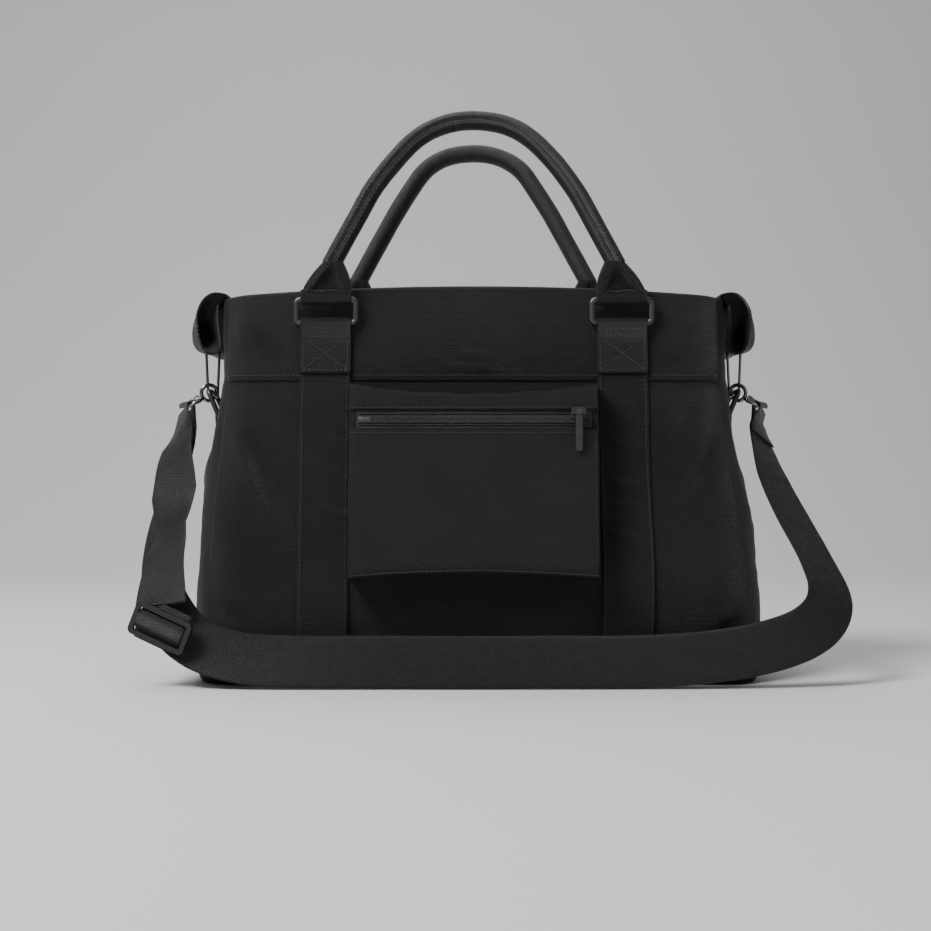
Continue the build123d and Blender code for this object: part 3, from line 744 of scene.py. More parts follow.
def base_grid(height, inset, z):
    """A rounded rectangle as a grid: each row's width follows the corner arcs at the row's own depth."""
    half_width, half_depth, corner = wall_sizes(np.array(height))
    half_width, half_depth, corner = half_width - inset, half_depth - inset, corner - inset
    y = base_y * half_depth
    into = np.clip(np.abs(y) - (half_depth - corner), 0, corner)
    x = base_x * (half_width - corner + np.sqrt(np.clip(corner**2 - into**2, 0, None)))
    return np.stack([slumped(x, z), y, z + 0 * x], axis=-1)


base_points = base_grid(1.5 * mm, 0.4 * mm, 0.4 * mm)
base_cloth = grid_piece("base_panel_cloth", base_points, base_points[..., :2])
thicken(base_cloth, 2 * mm)
finish(base_cloth, nylon, "bag", "nylon_cloth", "base_panel")

# Lining: thin grey taffeta, one tube of cloth round the inside and a floor, with a stiff board on it.
lining_cloth = cloth_material(
    "lining_taffeta", twill, (0.03, 0.03, 0.032), (0.06, 0.06, 0.063), 0.6, 0.3, 0.0003, 0.1, Yarn=0.0006
)
lining_heights = np.linspace(6 * mm, 284 * mm, 60)[:, None]
lining_inset = -4.2 * mm
loops = []
loop_flat = []
for wall in ("rear", "right", "front", "left"):
    share = np.linspace(-1, 1, 70 if wall in ("rear", "front") else 36)[None, :-1]
    s = share * wall_reach(wall, lining_heights)
    loops.append(
        wall_point(
            wall, s, lining_heights, lining_inset + 0.3 * np.minimum(swell(wall, s, lining_heights), 0)
        )
    )
    loop_flat.append(np.stack([s, lining_heights + 0 * s], axis=-1))
lining = grid_piece(
    "lining_walls", np.concatenate(loops, axis=1), np.concatenate(loop_flat, axis=1), closed=True
)
thicken(lining, 0.7 * mm)
finish(lining, lining_cloth, "bag", "lining_cloth", "lining")
floor_points = base_grid(8 * mm, 4.6 * mm, 3.3 * mm)[::-1]
lining_floor = grid_piece("lining_floor", floor_points, floor_points[..., :2])
thicken(lining_floor, 0.5 * mm)
finish(lining_floor, lining_cloth, "bag", "lining_cloth")

# Bands: four 38 mm strips of the same nylon, sewn flat up the front and rear from the base seam. Each turns
# over the lower bar of its strap ring and is sewn down on itself with a crossed box, in raised thread.
band_width = 38 * mm
band_thick = 1.6 * mm
band_gap = 0.25 * mm
lower_bar, upper_bar = 268 * mm, 285.3 * mm
ring_out = 63.04 * mm
loop_radius = 3.25 * mm
tail_low = 230 * mm


def speckled(name, scale, detail, dark, light, rough_range, rough_low):
    """A material of two colours mixed by a fine noise, which also raises the roughness from its low value.
    Returns the material and the noise node."""
    material = bpy.data.materials.new(name)
    material.use_nodes = True
    tree = material.node_tree
    shader = tree.nodes["Principled BSDF"]
    place = tree.nodes.new("ShaderNodeTexCoord")
    noise = tree.nodes.new("ShaderNodeTexNoise")
    noise.inputs["Scale"].default_value = scale
    noise.inputs["Detail"].default_value = detail
    tone = tree.nodes.new("ShaderNodeMix")
    tone.data_type = "RGBA"
    tone.inputs["A"].default_value = (*dark, 1)
    tone.inputs["B"].default_value = (*light, 1)
    tree.links.new(place.outputs["Object"], noise.inputs["Vector"])
    tree.links.new(noise.outputs["Fac"], tone.inputs["Factor"])
    tree.links.new(tone.outputs["Result"], shader.inputs["Base Color"])
    rough = link_math(tree, "MULTIPLY_ADD", noise.outputs["Fac"], rough_range, rough_low)
    tree.links.new(rough, shader.inputs["Roughness"])
    return material, noise


thread = speckled("sewing_thread", 700, 2, (0.012, 0.012, 0.0125), (0.03, 0.03, 0.031), 0.0, 0.55)[0]
thread.node_tree.nodes["Principled BSDF"].inputs["Sheen Weight"].default_value = 0.2
stitch_pitch = 3.4 * mm
stitch_length = 2.5 * mm
thread_radius = 0.32 * mm


def stitches(name, body, slot, rows):
    """Rows of raised stitches. Each row is (points, outward ways): short spindles of five sides lie an even
    pitch apart along it, half sunk in the cloth."""
    ends = np.array([-1, -0.72, 0.72, 1]) * stitch_length / 2
    size = np.array([0.25, 1, 1, 0.25]) * thread_radius
    angle = np.arange(5) * 2 * math.pi / 5
    centres, tangents, ups = [], [], []
    for line, way in rows:
        far = run_length(line)
        places = np.arange(stitch_pitch / 2, far[-1], stitch_pitch)
        centres.append(np.stack([np.interp(places, far, line[:, k]) for k in range(3)], axis=-1))
        ways = np.broadcast_to(way, line.shape)
        ups.append(np.stack([np.interp(places, far, ways[:, k]) for k in range(3)], axis=-1))
        lead = np.gradient(line, axis=0)
        tangents.append(np.stack([np.interp(places, far, lead[:, k]) for k in range(3)], axis=-1))
    centre, tangent, up = np.concatenate(centres), unit(np.concatenate(tangents)), unit(np.concatenate(ups))
    side = unit(np.cross(tangent, up))
    up = np.cross(side, tangent)
    ring = side[:, None] * np.cos(angle)[None, :, None] + up[:, None] * np.sin(angle)[None, :, None]
    points = (
        centre[:, None, None]
        + tangent[:, None, None] * ends[None, :, None, None]
        + ring[:, None] * size[None, :, None, None]
        + up[:, None, None] * 0.12 * mm
    )
    count = len(centre)
    base = np.arange(count)[:, None] * 20
    corner = np.arange(3)[:, None] * 5 + np.arange(5)[None]
    turn = np.arange(3)[:, None] * 5 + (np.arange(5)[None] + 1) % 5
    quads = np.stack([corner, corner + 5, turn + 5, turn], axis=-1).reshape(-1, 4)
    quads = (base[:, :, None] + quads[None]).reshape(-1, 4)
    caps = (base[:, :, None] + np.array([[0, 1, 2, 3, 4], [19, 18, 17, 16, 15]])[None]).reshape(-1, 5)
    mesh = bpy.data.meshes.new(name)
    mesh.from_pydata(points.reshape(-1, 3).tolist(), [], quads.tolist() + caps.tolist())
    mesh.polygons.foreach_set("use_smooth", [True] * len(mesh.polygons))
    piece = bpy.data.objects.new(name, mesh)
    bpy.context.scene.collection.objects.link(piece)
    face_outwards(piece)
    finish(piece, thread, body, slot)
    return piece


def lapped(z):
    """How far the collar's overlap lifts a band at height z."""
    return 0.9 * collar_proud * np.clip((z - collar_low) / (2 * mm) + 0.5, 0, 1)


def band_face(wall, s, z, layers):
    """A point on a band lying on a wall, a number of band thicknesses above the cloth."""
    fade = np.clip((262 * mm - z) / (12 * mm), 0, 1)
    return wall_point(wall, s, z, (swell(wall, s, z) + lapped(z)) * fade + band_gap + layers * band_thick)


def wall_out(wall):
    """The level way out of a wall."""
    return turned(wall, np.zeros(1), np.ones(1), np.zeros(1))[0]


band_section = webbing_section(band_width, band_thick, 19)
for wall, band_x in (("rear", rear_band_x), ("front", front_band_x)):
    for side, side_name in ((-1, "left"), (1, "right")):
        middle = side * band_x * (1 if wall == "rear" else -1)
        lying = np.arange(3, 266, 2.0) * mm
        arc = np.linspace(math.pi, 0, 13)
        hanging = np.arange(266, 229, -2.0) * mm
        reach = wall_sizes(lying)[1] + band_gap + band_thick / 2
        tail_reach = wall_sizes(hanging)[1] + band_gap + 1.5 * band_thick + 0.2 * mm
        lift = np.clip((hanging - 250 * mm) / (16 * mm), 0, 1)
        lift = lift * lift * (3 - 2 * lift)
        tail_reach = tail_reach + (ring_out + loop_radius - tail_reach) * lift
        outward = np.r_[reach, ring_out + loop_radius * np.cos(arc), tail_reach]
        height = np.r_[lying, lower_bar + loop_radius * np.sin(arc), hanging]
        line = turned(wall, np.full(len(height), middle), outward, height)
        points = carried_points(
            line, turned(wall, np.ones(len(height)), np.zeros(len(height)), 0.0), band_section[None]
        )
        follow = np.r_[
            np.clip((262 * mm - lying) / (12 * mm), 0, 1),
            np.zeros(13),
            np.clip((262 * mm - hanging) / (12 * mm), 0, 1),
        ]
        s = points[..., 0] * (1 if wall == "rear" else -1)
        points += (
            wall_out(wall)
            * ((swell(wall, s, points[..., 2]) + lapped(points[..., 2])) * follow[:, None])[..., None]
        )
        band = solid_piece(f"{wall}_band_{side_name}_cloth", points, band_section, run_length(line))
        finish(band, nylon, "bag", "webbing", f"{wall}_band_{side_name}")

        # Each band's lowest 28 mm is covered by a sewn webbing foot; its darker tone than the band above is
        # partly painted shade where the band turns away from the light
        foot_z = np.arange(3, 31, 2.0) * mm
        foot_out = wall_sizes(foot_z)[1] + band_gap + 1.5 * band_thick - 0.35 * mm
        foot_line = turned(wall, np.full(len(foot_z), middle), foot_out, foot_z)
        foot_points = carried_points(
            foot_line, turned(wall, np.ones(len(foot_z)), np.zeros(len(foot_z)), 0.0), band_section[None]
        )
        foot_s = foot_points[..., 0] * (1 if wall == "rear" else -1)
        foot_points += wall_out(wall) * swell(wall, foot_s, foot_points[..., 2])[..., None]
        foot = solid_piece(f"{wall}_band_{side_name}_foot", foot_points, band_section, run_length(foot_line))
        finish(foot, webbing, "bag", "webbing")

        rows = []
        inset = band_width / 2 - 2.4 * mm
        sewn = np.linspace(8, 256, 125) * mm
        tail = np.linspace(232.4, 257, 14) * mm
        for edge in (-inset, inset):
            layers = (
                1 + np.clip((sewn - tail_low) / (1.2 * mm), 0, 1) * 1.16
                + np.clip((31 * mm - sewn) / (2 * mm), 0, 1) * 0.8
            )
            rows.append((band_face(wall, np.full(125, middle + edge), sewn, layers), wall_out(wall)))
            slant = np.linspace(edge, -edge, 14)
            rows.append((band_face(wall, middle + slant, tail, 2.16), wall_out(wall)))
        level = np.linspace(-inset, inset, 14)
        for height, layers in ((232.2 * mm, 2.16), (257.4 * mm, 2.6), (10 * mm, 1.8), (28 * mm, 1.8)):
            rows.append((band_face(wall, middle + level, np.full(14, height), layers), wall_out(wall)))
        stitches(f"{wall}_band_{side_name}_stitches", "bag", "webbing", rows)

# Collar topstitching: one row just above the level seam, all along each collar and stopping at the bands.
for wall, band_x in (("rear", rear_band_x), ("front", front_band_x)):
    rows = []
    end = float(wall_reach(wall, np.array(seam_height))) - 3 * mm
    for low, high in (
        (-end, -band_x - 20 * mm), (20 * mm - band_x, band_x - 20 * mm), (band_x + 20 * mm, end)
    ):
        s = np.linspace(low, high, 80)
        row_z = np.full(80, seam_height + 1.4 * mm)
        out = collar_proud + swell(wall, s, row_z) + 0.1 * mm
        rows.append((wall_point(wall, s, row_z, out), wall_out(wall)))
    stitches(f"{wall}_collar_stitches", "bag", "nylon_cloth", rows)

# Strap rings: closed rectangles of painted steel wire with a soft grey lustre, between band and hand strap.


def metal(name, dark, light, rough_low, rough_high):
    """Metal whose colour and roughness drift slowly, with a fine cast grain."""
    material = bpy.data.materials.new(name)
    material.use_nodes = True
    tree = material.node_tree
    shader = tree.nodes["Principled BSDF"]
    shader.inputs["Metallic"].default_value = 1.0
    place = tree.nodes.new("ShaderNodeTexCoord")
    drift = tree.nodes.new("ShaderNodeTexNoise")
    drift.inputs["Scale"].default_value = 120
    drift.inputs["Detail"].default_value = 6
    tree.links.new(place.outputs["Object"], drift.inputs["Vector"])
    tone = tree.nodes.new("ShaderNodeMix")
    tone.data_type = "RGBA"
    tone.inputs["A"].default_value = (*dark, 1)
    tone.inputs["B"].default_value = (*light, 1)
    tree.links.new(drift.outputs["Fac"], tone.inputs["Factor"])
    tree.links.new(tone.outputs["Result"], shader.inputs["Base Color"])
    rough = link_math(tree, "MULTIPLY_ADD", drift.outputs["Fac"], rough_high - rough_low, rough_low)
    tree.links.new(rough, shader.inputs["Roughness"])
    grain = tree.nodes.new("ShaderNodeTexNoise")
    grain.inputs["Scale"].default_value = 1800
    tree.links.new(place.outputs["Object"], grain.inputs["Vector"])
    raised = tree.nodes.new("ShaderNodeBump")
    raised.inputs["Strength"].default_value = 0.12
    raised.inputs["Distance"].default_value = 0.0002
    tree.links.new(grain.outputs["Fac"], raised.inputs["Height"])
    tree.links.new(raised.outputs[0], shader.inputs["Normal"])
    return material


def refinish(material, *nodes):
    """Gives carried-over CAD nodes their real finish."""
    for node in nodes:
        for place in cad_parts[node].material_slots:
            place.material = material


gunmetal = metal("satin_gunmetal", (0.05, 0.05, 0.052), (0.11, 0.11, 0.114), 0.38, 0.55)
chrome = metal("dark_chrome", (0.2, 0.2, 0.205), (0.34, 0.34, 0.35), 0.1, 0.24)
refinish(gunmetal, *(f"{wall}_ring_{side}" for wall in ("rear", "front") for side in ("left", "right")))
refinish(gunmetal, "left_side_ring", "right_side_ring")
for fitting in ("hook", "hook_gate", "strap_loop", "wing_clip"):
    refinish(chrome, f"left_{fitting}", f"right_{fitting}")
refinish(gunmetal, "main_slider", "main_pull", "pocket_slider", "pocket_pull")

# Trolley sleeve: a flat pocket of nylon that stands off the rear panel on its two sewn sides, open above and
# below for a trolley's tubes. A coil zip runs across it, between two turned edges sewn with raised thread.
sleeve_low, sleeve_high = 79.5 * mm, 221.3 * mm
sleeve_reach = 26.2 * mm
zip_height = 194.7 * mm
sleeve_cross = mm * np.array(
    [
        (-91.6, 1.2),
        (-91.4, 3.0),
        (-91.2, 23.5),
        (-89.4, 26.2),
        (89.4, 26.2),
        (91.2, 23.5),
        (91.4, 3.0),
        (91.6, 1.2),
    ]
)
sleeve_folds = [
    ((-90, 212), (-58, 204), 5, 0.9),
    ((90, 216), (56, 207), 6, 1.0),
    ((88, 186), (60, 176), 6, -0.8),
    ((84, 182), (70, 168), 3, 0.7),
    ((-88, 186), (-62, 178), 5, 0.7),
    ((90, 112), (40, 100), 7, 0.8),
    ((90, 128), (60, 118), 4, 0.6),
    ((-90, 110), (-52, 96), 7, -0.8),
    ((-50, 214), (-10, 209), 4, 0.5),
    ((0, 213), (30, 209), 4, 0.5),
]


def sleeve_point(share, z, out=0.0):
    """A point of the sleeve: share goes from -1 to 1 along its rounded cross section, at height z, and out
    from its plain face. The face bellies out slightly between its sides, in slow waves and folds."""
    dense = even_line(np.c_[sleeve_cross, np.zeros(len(sleeve_cross))], 0.5 * mm)
    kernel = np.ones(9) / 9
    smooth = np.stack(
        [np.convolve(np.pad(dense[:, k], 4, mode="edge"), kernel, "valid") for k in range(2)], axis=-1
    )
    far = run_length(smooth)
    place = (np.asarray(share) + 1) / 2 * far[-1]
    x, off = np.interp(place, far, smooth[:, 0]), np.interp(place, far, smooth[:, 1])
    flat = np.clip(off / sleeve_reach, 0, 1)
    inner = np.clip((84 * mm - np.abs(x)) / (14 * mm), 0, 1)
    wave = (
        sum(fold_line(x, z, *fold) for fold in sleeve_folds) + drape(x, z, 31, 24, 80, 0.5)
        + drape(x, z, 32, 8, 16, 0.1)
    )
    belly = 1.2 * mm * np.clip(1 - (x / (84 * mm)) ** 2, 0, 1)
    off = off + (wave * np.clip(inner + 0.25, 0, 1) + belly + out) * flat**3 + out * (1 - flat**3) * 0.2
    return np.stack([x, -(wall_sizes(z)[1] + off), z + 0 * x], axis=-1)


def sleeve_piece(name, low, high, out, columns, rows, thick, material, slot, *nodes):
    """A strip of the sleeve between two heights, which may change along it, as may its distance out."""
    share = np.linspace(-1, 1, columns)[None]
    climb = np.linspace(0, 1, rows)[:, None]
    z = low(share) + climb * (high(share) - low(share))
    points = sleeve_point(share + 0 * z, z, out(share, climb))
    piece = grid_piece(name, points, np.stack([share * 118 * mm + 0 * z, z], axis=-1))
    thicken(piece, thick)
    finish(piece, material, "bag", slot, *nodes)
    return piece


def hem_low(share):
    """The lower edge: 4 mm higher in the middle than at the sides."""
    return sleeve_low + 4 * mm * np.clip(1 - (share / 0.78) ** 2, 0, 1)


def hem_high(share):
    """The upper edge: a shallow hollow 8 mm deep between the sides, slightly uneven."""
    dip = np.clip(1 - np.abs(share / 0.8) ** 2.4, 0, 1)
    return sleeve_high - 7.6 * mm * dip + 0.4 * mm * np.sin(share * 23) * dip


def front_out(share, climb):
    """The face rolls in over its lowest 12 mm, ends in a thin proud binding, and turns in at the zip."""
    low = np.clip(1 - climb / 0.11, 0, 1)
    lip = np.exp(-(((climb - 0.012) / 0.010) ** 2))
    turn = np.clip((climb - 0.985) / 0.015, 0, 1)
    return -5.2 * mm * low**1.6 + 1.3 * mm * lip - 1.4 * mm * turn**2


def strip_out(share, climb):
    """The strip over the zip turns in at the zip and rolls back at the top edge."""
    return (
        -1.4 * mm * np.clip(1 - climb / 0.08, 0, 1) ** 2
        - 2.6 * mm * np.clip((climb - 0.86) / 0.14, 0, 1) ** 2.2
    )


zip_low = zip_height - 6.3 * mm
zip_high = zip_height + 6.5 * mm


def backing_out(share, climb):
    """The backing lies 2.6 mm behind the face and draws further in at its two edges."""
    low = np.clip(1 - climb / 0.11, 0, 1)
    high = np.clip((climb - 0.93) / 0.07, 0, 1)
    return -2.6 * mm - 4.8 * mm * low**1.6 - 1.2 * mm * high**2


cover_thick, backing_thick = 1.1 * mm, 0.8 * mm
sleeve_piece(
    "sleeve_front_cloth", hem_low, lambda share: zip_low + 0 * share, front_out, 190, 84, cover_thick, nylon,
    "sleeve_cloth", "sleeve_cover"
)
sleeve_piece(
    "sleeve_top_cloth", lambda share: zip_high + 0 * share, hem_high, strip_out, 190, 26, cover_thick, nylon,
    "sleeve_cloth"
)
sleeve_piece(
    "sleeve_backing_cloth", lambda share: hem_low(share) + 1.5 * mm, lambda share: hem_high(share) - 1.5 * mm,
    backing_out, 120, 48, backing_thick, nylon, "sleeve_cloth", "sleeve_backing"
)
rows = []
row_share = np.linspace(-0.79, 0.79, 120)
for height, out in ((zip_high + 2.2 * mm, 0.05 * mm), (zip_low - 3.4 * mm, 0.05 * mm)):
    rows.append((sleeve_point(row_share, np.full(120, height), out), np.array([0, -1, 0.07])))
hem_rows = hem_low(row_share) + 2.0 * mm
hem_out = front_out(row_share, np.full(120, 2.0 / 109)) + 0.05 * mm
rows.append((sleeve_point(row_share, hem_rows, hem_out), np.array([0, -1, 0.07])))
stitches("sleeve_stitches", "bag", "sleeve_cloth", rows)

# Pocket zip: woven tape with a sewn nylon coil, a metal end stop at the left and its slider at the right.
zip_tape = cloth_material(
    "zip_tape",
    rib_weave,
    (0.002, 0.002, 0.0021),
    (0.007, 0.007, 0.0073),
    0.5,
    0.5,
    0.0003,
    0.03,
    Rib=0.0011,
)
coil_black = speckled("zip_coil", 500, 2, (0.03, 0.03, 0.031), (0.10, 0.10, 0.103), 0.2, 0.22)[0]


def zip_coil(name, body, line, across, up, sides, slot):
    """A zip's coil: a tapered block of eight corners every 1.25 mm on each side of the line, the two sides
    leaning opposite ways, as a row of nylon loops looks from above."""
    places = even_line(line, 1.25 * mm)
    count = len(places)
    tangent = unit(np.gradient(places, axis=0))
    shape = np.array(
        [
            (-1, -1, 0),
            (1, -1, 0),
            (1, 1, 0),
            (-1, 1, 0),
            (-0.6, -0.8, 1),
            (0.6, -0.8, 1),
            (0.6, 0.8, 1),
            (-0.6, 0.8, 1),
        ],
        dtype=float,
    )
    faces = np.array([(0, 3, 2, 1), (4, 5, 6, 7), (0, 1, 5, 4), (1, 2, 6, 5), (2, 3, 7, 6), (3, 0, 4, 7)])
    blocks = []
    for side in sides:
        middle = places + across * side * 1.35 * mm + tangent * 0.3 * side * mm
        lean = tangent + across * 0.35 * side
        corner = (
            middle[:, None]
            + lean[:, None] * (shape[:, 0] * 0.42 * mm)[None, :, None]
            + across * (shape[:, 1] * 1.45 * mm)[None, :, None]
            + up * (shape[:, 2] * 1.3 * mm)[None, :, None]
        )
        blocks.append(corner)
    points = np.concatenate(blocks).reshape(-1, 3)
    quads = (np.arange(count * len(sides))[:, None, None] * 8 + faces[None]).reshape(-1, 4)
    mesh = bpy.data.meshes.new(name)
    mesh.from_pydata(points.tolist(), [], quads.tolist())
    piece = bpy.data.objects.new(name, mesh)
    bpy.context.scene.collection.objects.link(piece)
    face_outwards(piece)
    finish(piece, coil_black, body, slot)
    return piece


tape_x = np.linspace(-86, 86, 90) * mm
tape_share = np.interp(
    tape_x, sleeve_point(np.linspace(-1, 1, 400), np.full(400, zip_height))[:, 0], np.linspace(-1, 1, 400)
)
tape_z = zip_height + np.linspace(-8.2, 8.2, 12)[:, None] * mm
tape = grid_piece(
    "pocket_zip_tape",
    sleeve_point(tape_share[None] + 0 * tape_z, tape_z + 0 * tape_share[None], -1.7 * mm),
    np.stack([tape_z - zip_height + 0 * tape_x, tape_x[None] + 0 * tape_z], axis=-1),
)
thicken(tape, 0.6 * mm)
finish(tape, zip_tape, "bag", "zip", "pocket_zip")
coil_share = np.interp(np.linspace(-84, 79, 80) * mm, tape_x, tape_share)
coil_line = sleeve_point(coil_share, np.full(80, zip_height), -1.5 * mm)
up_z = np.array([0, 0.0802, 0.9968])
zip_coil("pocket_zip_coil", "bag", coil_line, up_z, np.array([0, -0.9968, 0.0802]), (-1, 1), "zip")
stop_points = sleeve_point(
    np.interp(np.linspace(-84.5, -75, 6) * mm, tape_x, tape_share), np.full(6, zip_height), -0.7 * mm
)
stop_section = np.array([(-1.9, -0.4), (1.9, -0.4), (1.9, 0.2), (1.4, 0.6), (-1.4, 0.6), (-1.9, 0.2)]) * mm
zip_stop = carried("pocket_zip_stop", stop_points, np.tile(up_z, (6, 1)), stop_section[None])
finish(zip_stop, gunmetal, "bag", "zip")
for edge in (-4.1, 4.1):
    cord_line = sleeve_point(coil_share, np.full(80, zip_height + edge * mm), -1.4 * mm)
    cord_angle = np.linspace(0, 2 * math.pi, 7)[:-1]
    cord = carried(
        "pocket_zip_edge_low" if edge < 0 else "pocket_zip_edge_high",
        cord_line,
        np.tile(up_z, (80, 1)),
        (0.5 * mm * np.c_[np.cos(cord_angle), np.sin(cord_angle)])[None],
    )
    finish(cord, zip_tape, "bag", "zip")

# Hand straps: nylon webbing rolled round a soft core and sewn along one side. At each foot it opens flat,
# is folded into a ridged arrow and sewn, and passes round the upper bar of its strap ring.
handle_radius = 7.2 * mm
flare_low, flare_top = 289.6 * mm, 314 * mm
tube_angle = np.linspace(0, 2 * math.pi, 41)[:-1]


def rounded_power(angle, power):
    """The cosine and sine of an angle, squared off: a power of 1 is round and a small one nearly a box."""
    c, s = np.cos(angle), np.sin(angle)
    return np.sign(c) * np.abs(c) ** power, np.sign(s) * np.abs(s) ** power


hand_webbing = cloth_material(
    "hand_strap_webbing",
    rib_weave,
    (0.0018, 0.0018, 0.0019),
    (0.009, 0.009, 0.0094),
    0.46,
    0.8,
    0.0006,
    0.03,
    Rib=0.0016,
)
for wall, band_x, way in (("rear", rear_band_x, -1), ("front", front_band_x, 1)):
    foot_x = band_x - 4 * mm
    level = way * ring_out
    arch = [
        (-foot_x - 0.5 * mm, level, 311 * mm),
        (-foot_x + 17 * mm, level, 343 * mm),
        (-foot_x + 36 * mm, level, 377.5 * mm),
        (-31 * mm, level, 419.8 * mm),
        (31 * mm, level, 419.8 * mm),
        (foot_x - 36 * mm, level, 377.5 * mm),
        (foot_x - 17 * mm, level, 343 * mm),
        (foot_x + 0.5 * mm, level, 311 * mm),
    ]
    arch_line = even_line(route_line(arch), 1.6 * mm)
    seam = np.exp(-((np.angle(np.exp(1j * (tube_angle - math.pi / 2 * -way))) / 0.22) ** 2))
    wobble = drape(tube_angle[None] * 12 * mm, run_length(arch_line)[:, None], 41 + way, 14, 50, 0.22)
    radius = handle_radius * (1 - 0.16 * seam)[None] + wobble
    section = np.stack([radius * np.cos(tube_angle), radius * np.sin(tube_angle)], axis=-1)
    across = np.cross(np.tile([0.0, 1.0, 0.0], (len(arch_line), 1)), unit(np.gradient(arch_line, axis=0)))
    points = carried_points(arch_line, across, section)
    tube = solid_piece(
        f"{wall}_handle_tube",
        points,
        np.broadcast_to((tube_angle * handle_radius)[:, None], (40, 2)),
        run_length(arch_line),
    )
    finish(tube, hand_webbing, f"{wall}_handle", "handle_webbing", f"{wall}_handle")
    rows = []
    tangent = unit(np.gradient(arch_line, axis=0))
    inward = np.cross(tangent, [0.0, 1.0, 0.0])
    for off in (-0.42, 0.42):
        lift = handle_radius * (1 - 0.16 * math.exp(-((off / 0.22) ** 2)))
        rows.append(
            (
                arch_line + lift * (math.cos(off) * np.array([0, way, 0]) + math.sin(off) * inward),
                np.array([0, way, 0]),
            )
        )
    stitches(f"{wall}_handle_stitches", f"{wall}_handle", "handle_webbing", rows)

    for side, side_name in ((-1, "left"), (1, "right")):
        climb = np.linspace(0, 1, 34)[:, None]
        half = (7.4 + 11.4 * (1 - climb**1.7)) * mm
        thick = (3.1 + 4.4 * climb**1.3) * mm
        power = 0.32 + 0.68 * climb
        c, s = rounded_power(tube_angle[None], power)
        x = half * c
        ridge = half * (0.84 - 0.7 * climb)
        crease = (
            np.exp(-(((np.abs(x) - ridge) / (2.3 * mm)) ** 2))
            * np.sin(math.pi * np.clip(climb * 0.92 + 0.08, 0, 1)) ** 0.6
        )
        hollow = np.exp(-((x / (ridge * 0.7 + 1 * mm)) ** 2)) * np.sin(math.pi * climb) ** 0.8
        pucker = 0.35 * mm * np.sin(x / (1.7 * mm) + 4 * climb) * np.exp(-((climb / 0.2) ** 2))
        y = (thick + 2.6 * mm * crease - 1.2 * mm * hollow + pucker) * s
        middle_x = side * (band_x + (foot_x - band_x) * climb**0.8) - side * 1.5 * mm * climb**2
        z = flare_low + climb * (flare_top - flare_low) + 0.6 * mm * np.cos(x / half * math.pi) * (1 - climb)
        points = np.stack([middle_x + x, level + y, z + 0 * x], axis=-1)
        flare = solid_piece(
            f"{wall}_handle_foot_{side_name}",
            points,
            np.broadcast_to((c[0] * 18 * mm)[:, None], (40, 2)),
            climb[:, 0] * 25 * mm,
        )
        finish(flare, nylon, f"{wall}_handle", "handle_webbing")
        turn = np.linspace(math.pi, 2 * math.pi, 15)
        wrap_out = np.r_[-2.7, -3.0, -3.22, 3.25 * np.cos(turn), 3.22, 3.0, 2.7] * mm
        wrap_up = np.r_[7.2, 4.6, 2.0, 3.25 * np.sin(turn), 2.0, 4.6, 7.2] * mm
        wrap_line = np.stack(
            [np.full(21, side * band_x), level + way * wrap_out, upper_bar + wrap_up], axis=-1
        )
        wrap = carried(
            f"{wall}_handle_wrap_{side_name}",
            wrap_line,
            np.tile([1.0, 0, 0], (21, 1)),
            webbing_section(37.6 * mm, band_thick, 19)[None],
        )
        finish(wrap, nylon, f"{wall}_handle", "handle_webbing")
        sew = np.linspace(-15.5, 15.5, 20) * mm
        sew_line = np.stack(
            [
                side * band_x + sew,
                np.full(20, level + way * 4.2 * mm),
                flare_low + 2.2 * mm + 0.5 * mm * np.sin(sew / (3 * mm)),
            ],
            axis=-1,
        )
        stitches(
            f"{wall}_foot_stitches_{side_name}",
            f"{wall}_handle",
            "handle_webbing",
            [(sew_line, np.array([0, way, 0]))],
        )

# Side tabs: a 26 mm webbing loop sewn low on each gusset that holds the side ring's straight bar.
tab_section = webbing_section(26 * mm, 1.5 * mm, 15)
for wall, side in (("left", -1), ("right", 1)):
    ring_x = 198.74 * mm
    inner_z = np.arange(157, 197, 1.5) * mm
    outer_z = np.arange(196, 157, -1.5) * mm
    arc = np.linspace(math.pi, 0, 13)
    reach = wall_sizes(inner_z)[0] + 1.0 * mm
    outer_reach = wall_sizes(outer_z)[0] + 2.7 * mm
    lift = np.clip((outer_z - 176 * mm) / (22 * mm), 0, 1)
    lift = lift * lift * (3 - 2 * lift)
    outer_reach = outer_reach + (ring_x + 2.85 * mm - outer_reach) * lift
    outward = np.r_[reach, ring_x + 2.85 * mm * np.cos(arc), outer_reach]
    height = np.r_[inner_z, 200 * mm + 2.85 * mm * np.sin(arc), outer_z]
    line = turned(wall, np.zeros(len(height)), outward, height)
    points = carried_points(
        line, turned(wall, np.ones(len(height)), np.zeros(len(height)), 0.0), tab_section[None]
    )
    follow = np.clip((190 * mm - points[..., 2]) / (14 * mm), 0, 1)
    s = points[..., 1] * (1 if wall == "right" else -1)
    points += wall_out(wall) * (swell(wall, s, points[..., 2]) * follow)[..., None]
    tab = solid_piece(f"{wall}_side_tab_webbing", points, tab_section, run_length(line))
    finish(tab, webbing, "bag", "webbing", f"{wall}_side_tab")
    rows = []
    for edge in (-10.5 * mm, 10.5 * mm):
        z = np.linspace(160, 184, 16) * mm
        out = (
            swell(wall, np.full(16, edge), z) + 3.6 * mm
            + 3.0 * mm * np.clip((z - 176 * mm) / (22 * mm), 0, 1) ** 2
        )
        rows.append((wall_point(wall, np.full(16, edge), z, out), wall_out(wall)))
    level_s = np.linspace(-10.5, 10.5, 10) * mm
    for z in (159.5 * mm, 172 * mm):
        rows.append(
            (
                wall_point(wall, level_s, np.full(10, z), swell(wall, level_s, np.full(10, z)) + 3.6 * mm),
                wall_out(wall),
            )
        )
    stitches(f"{wall}_side_tab_stitches", "bag", "webbing", rows)
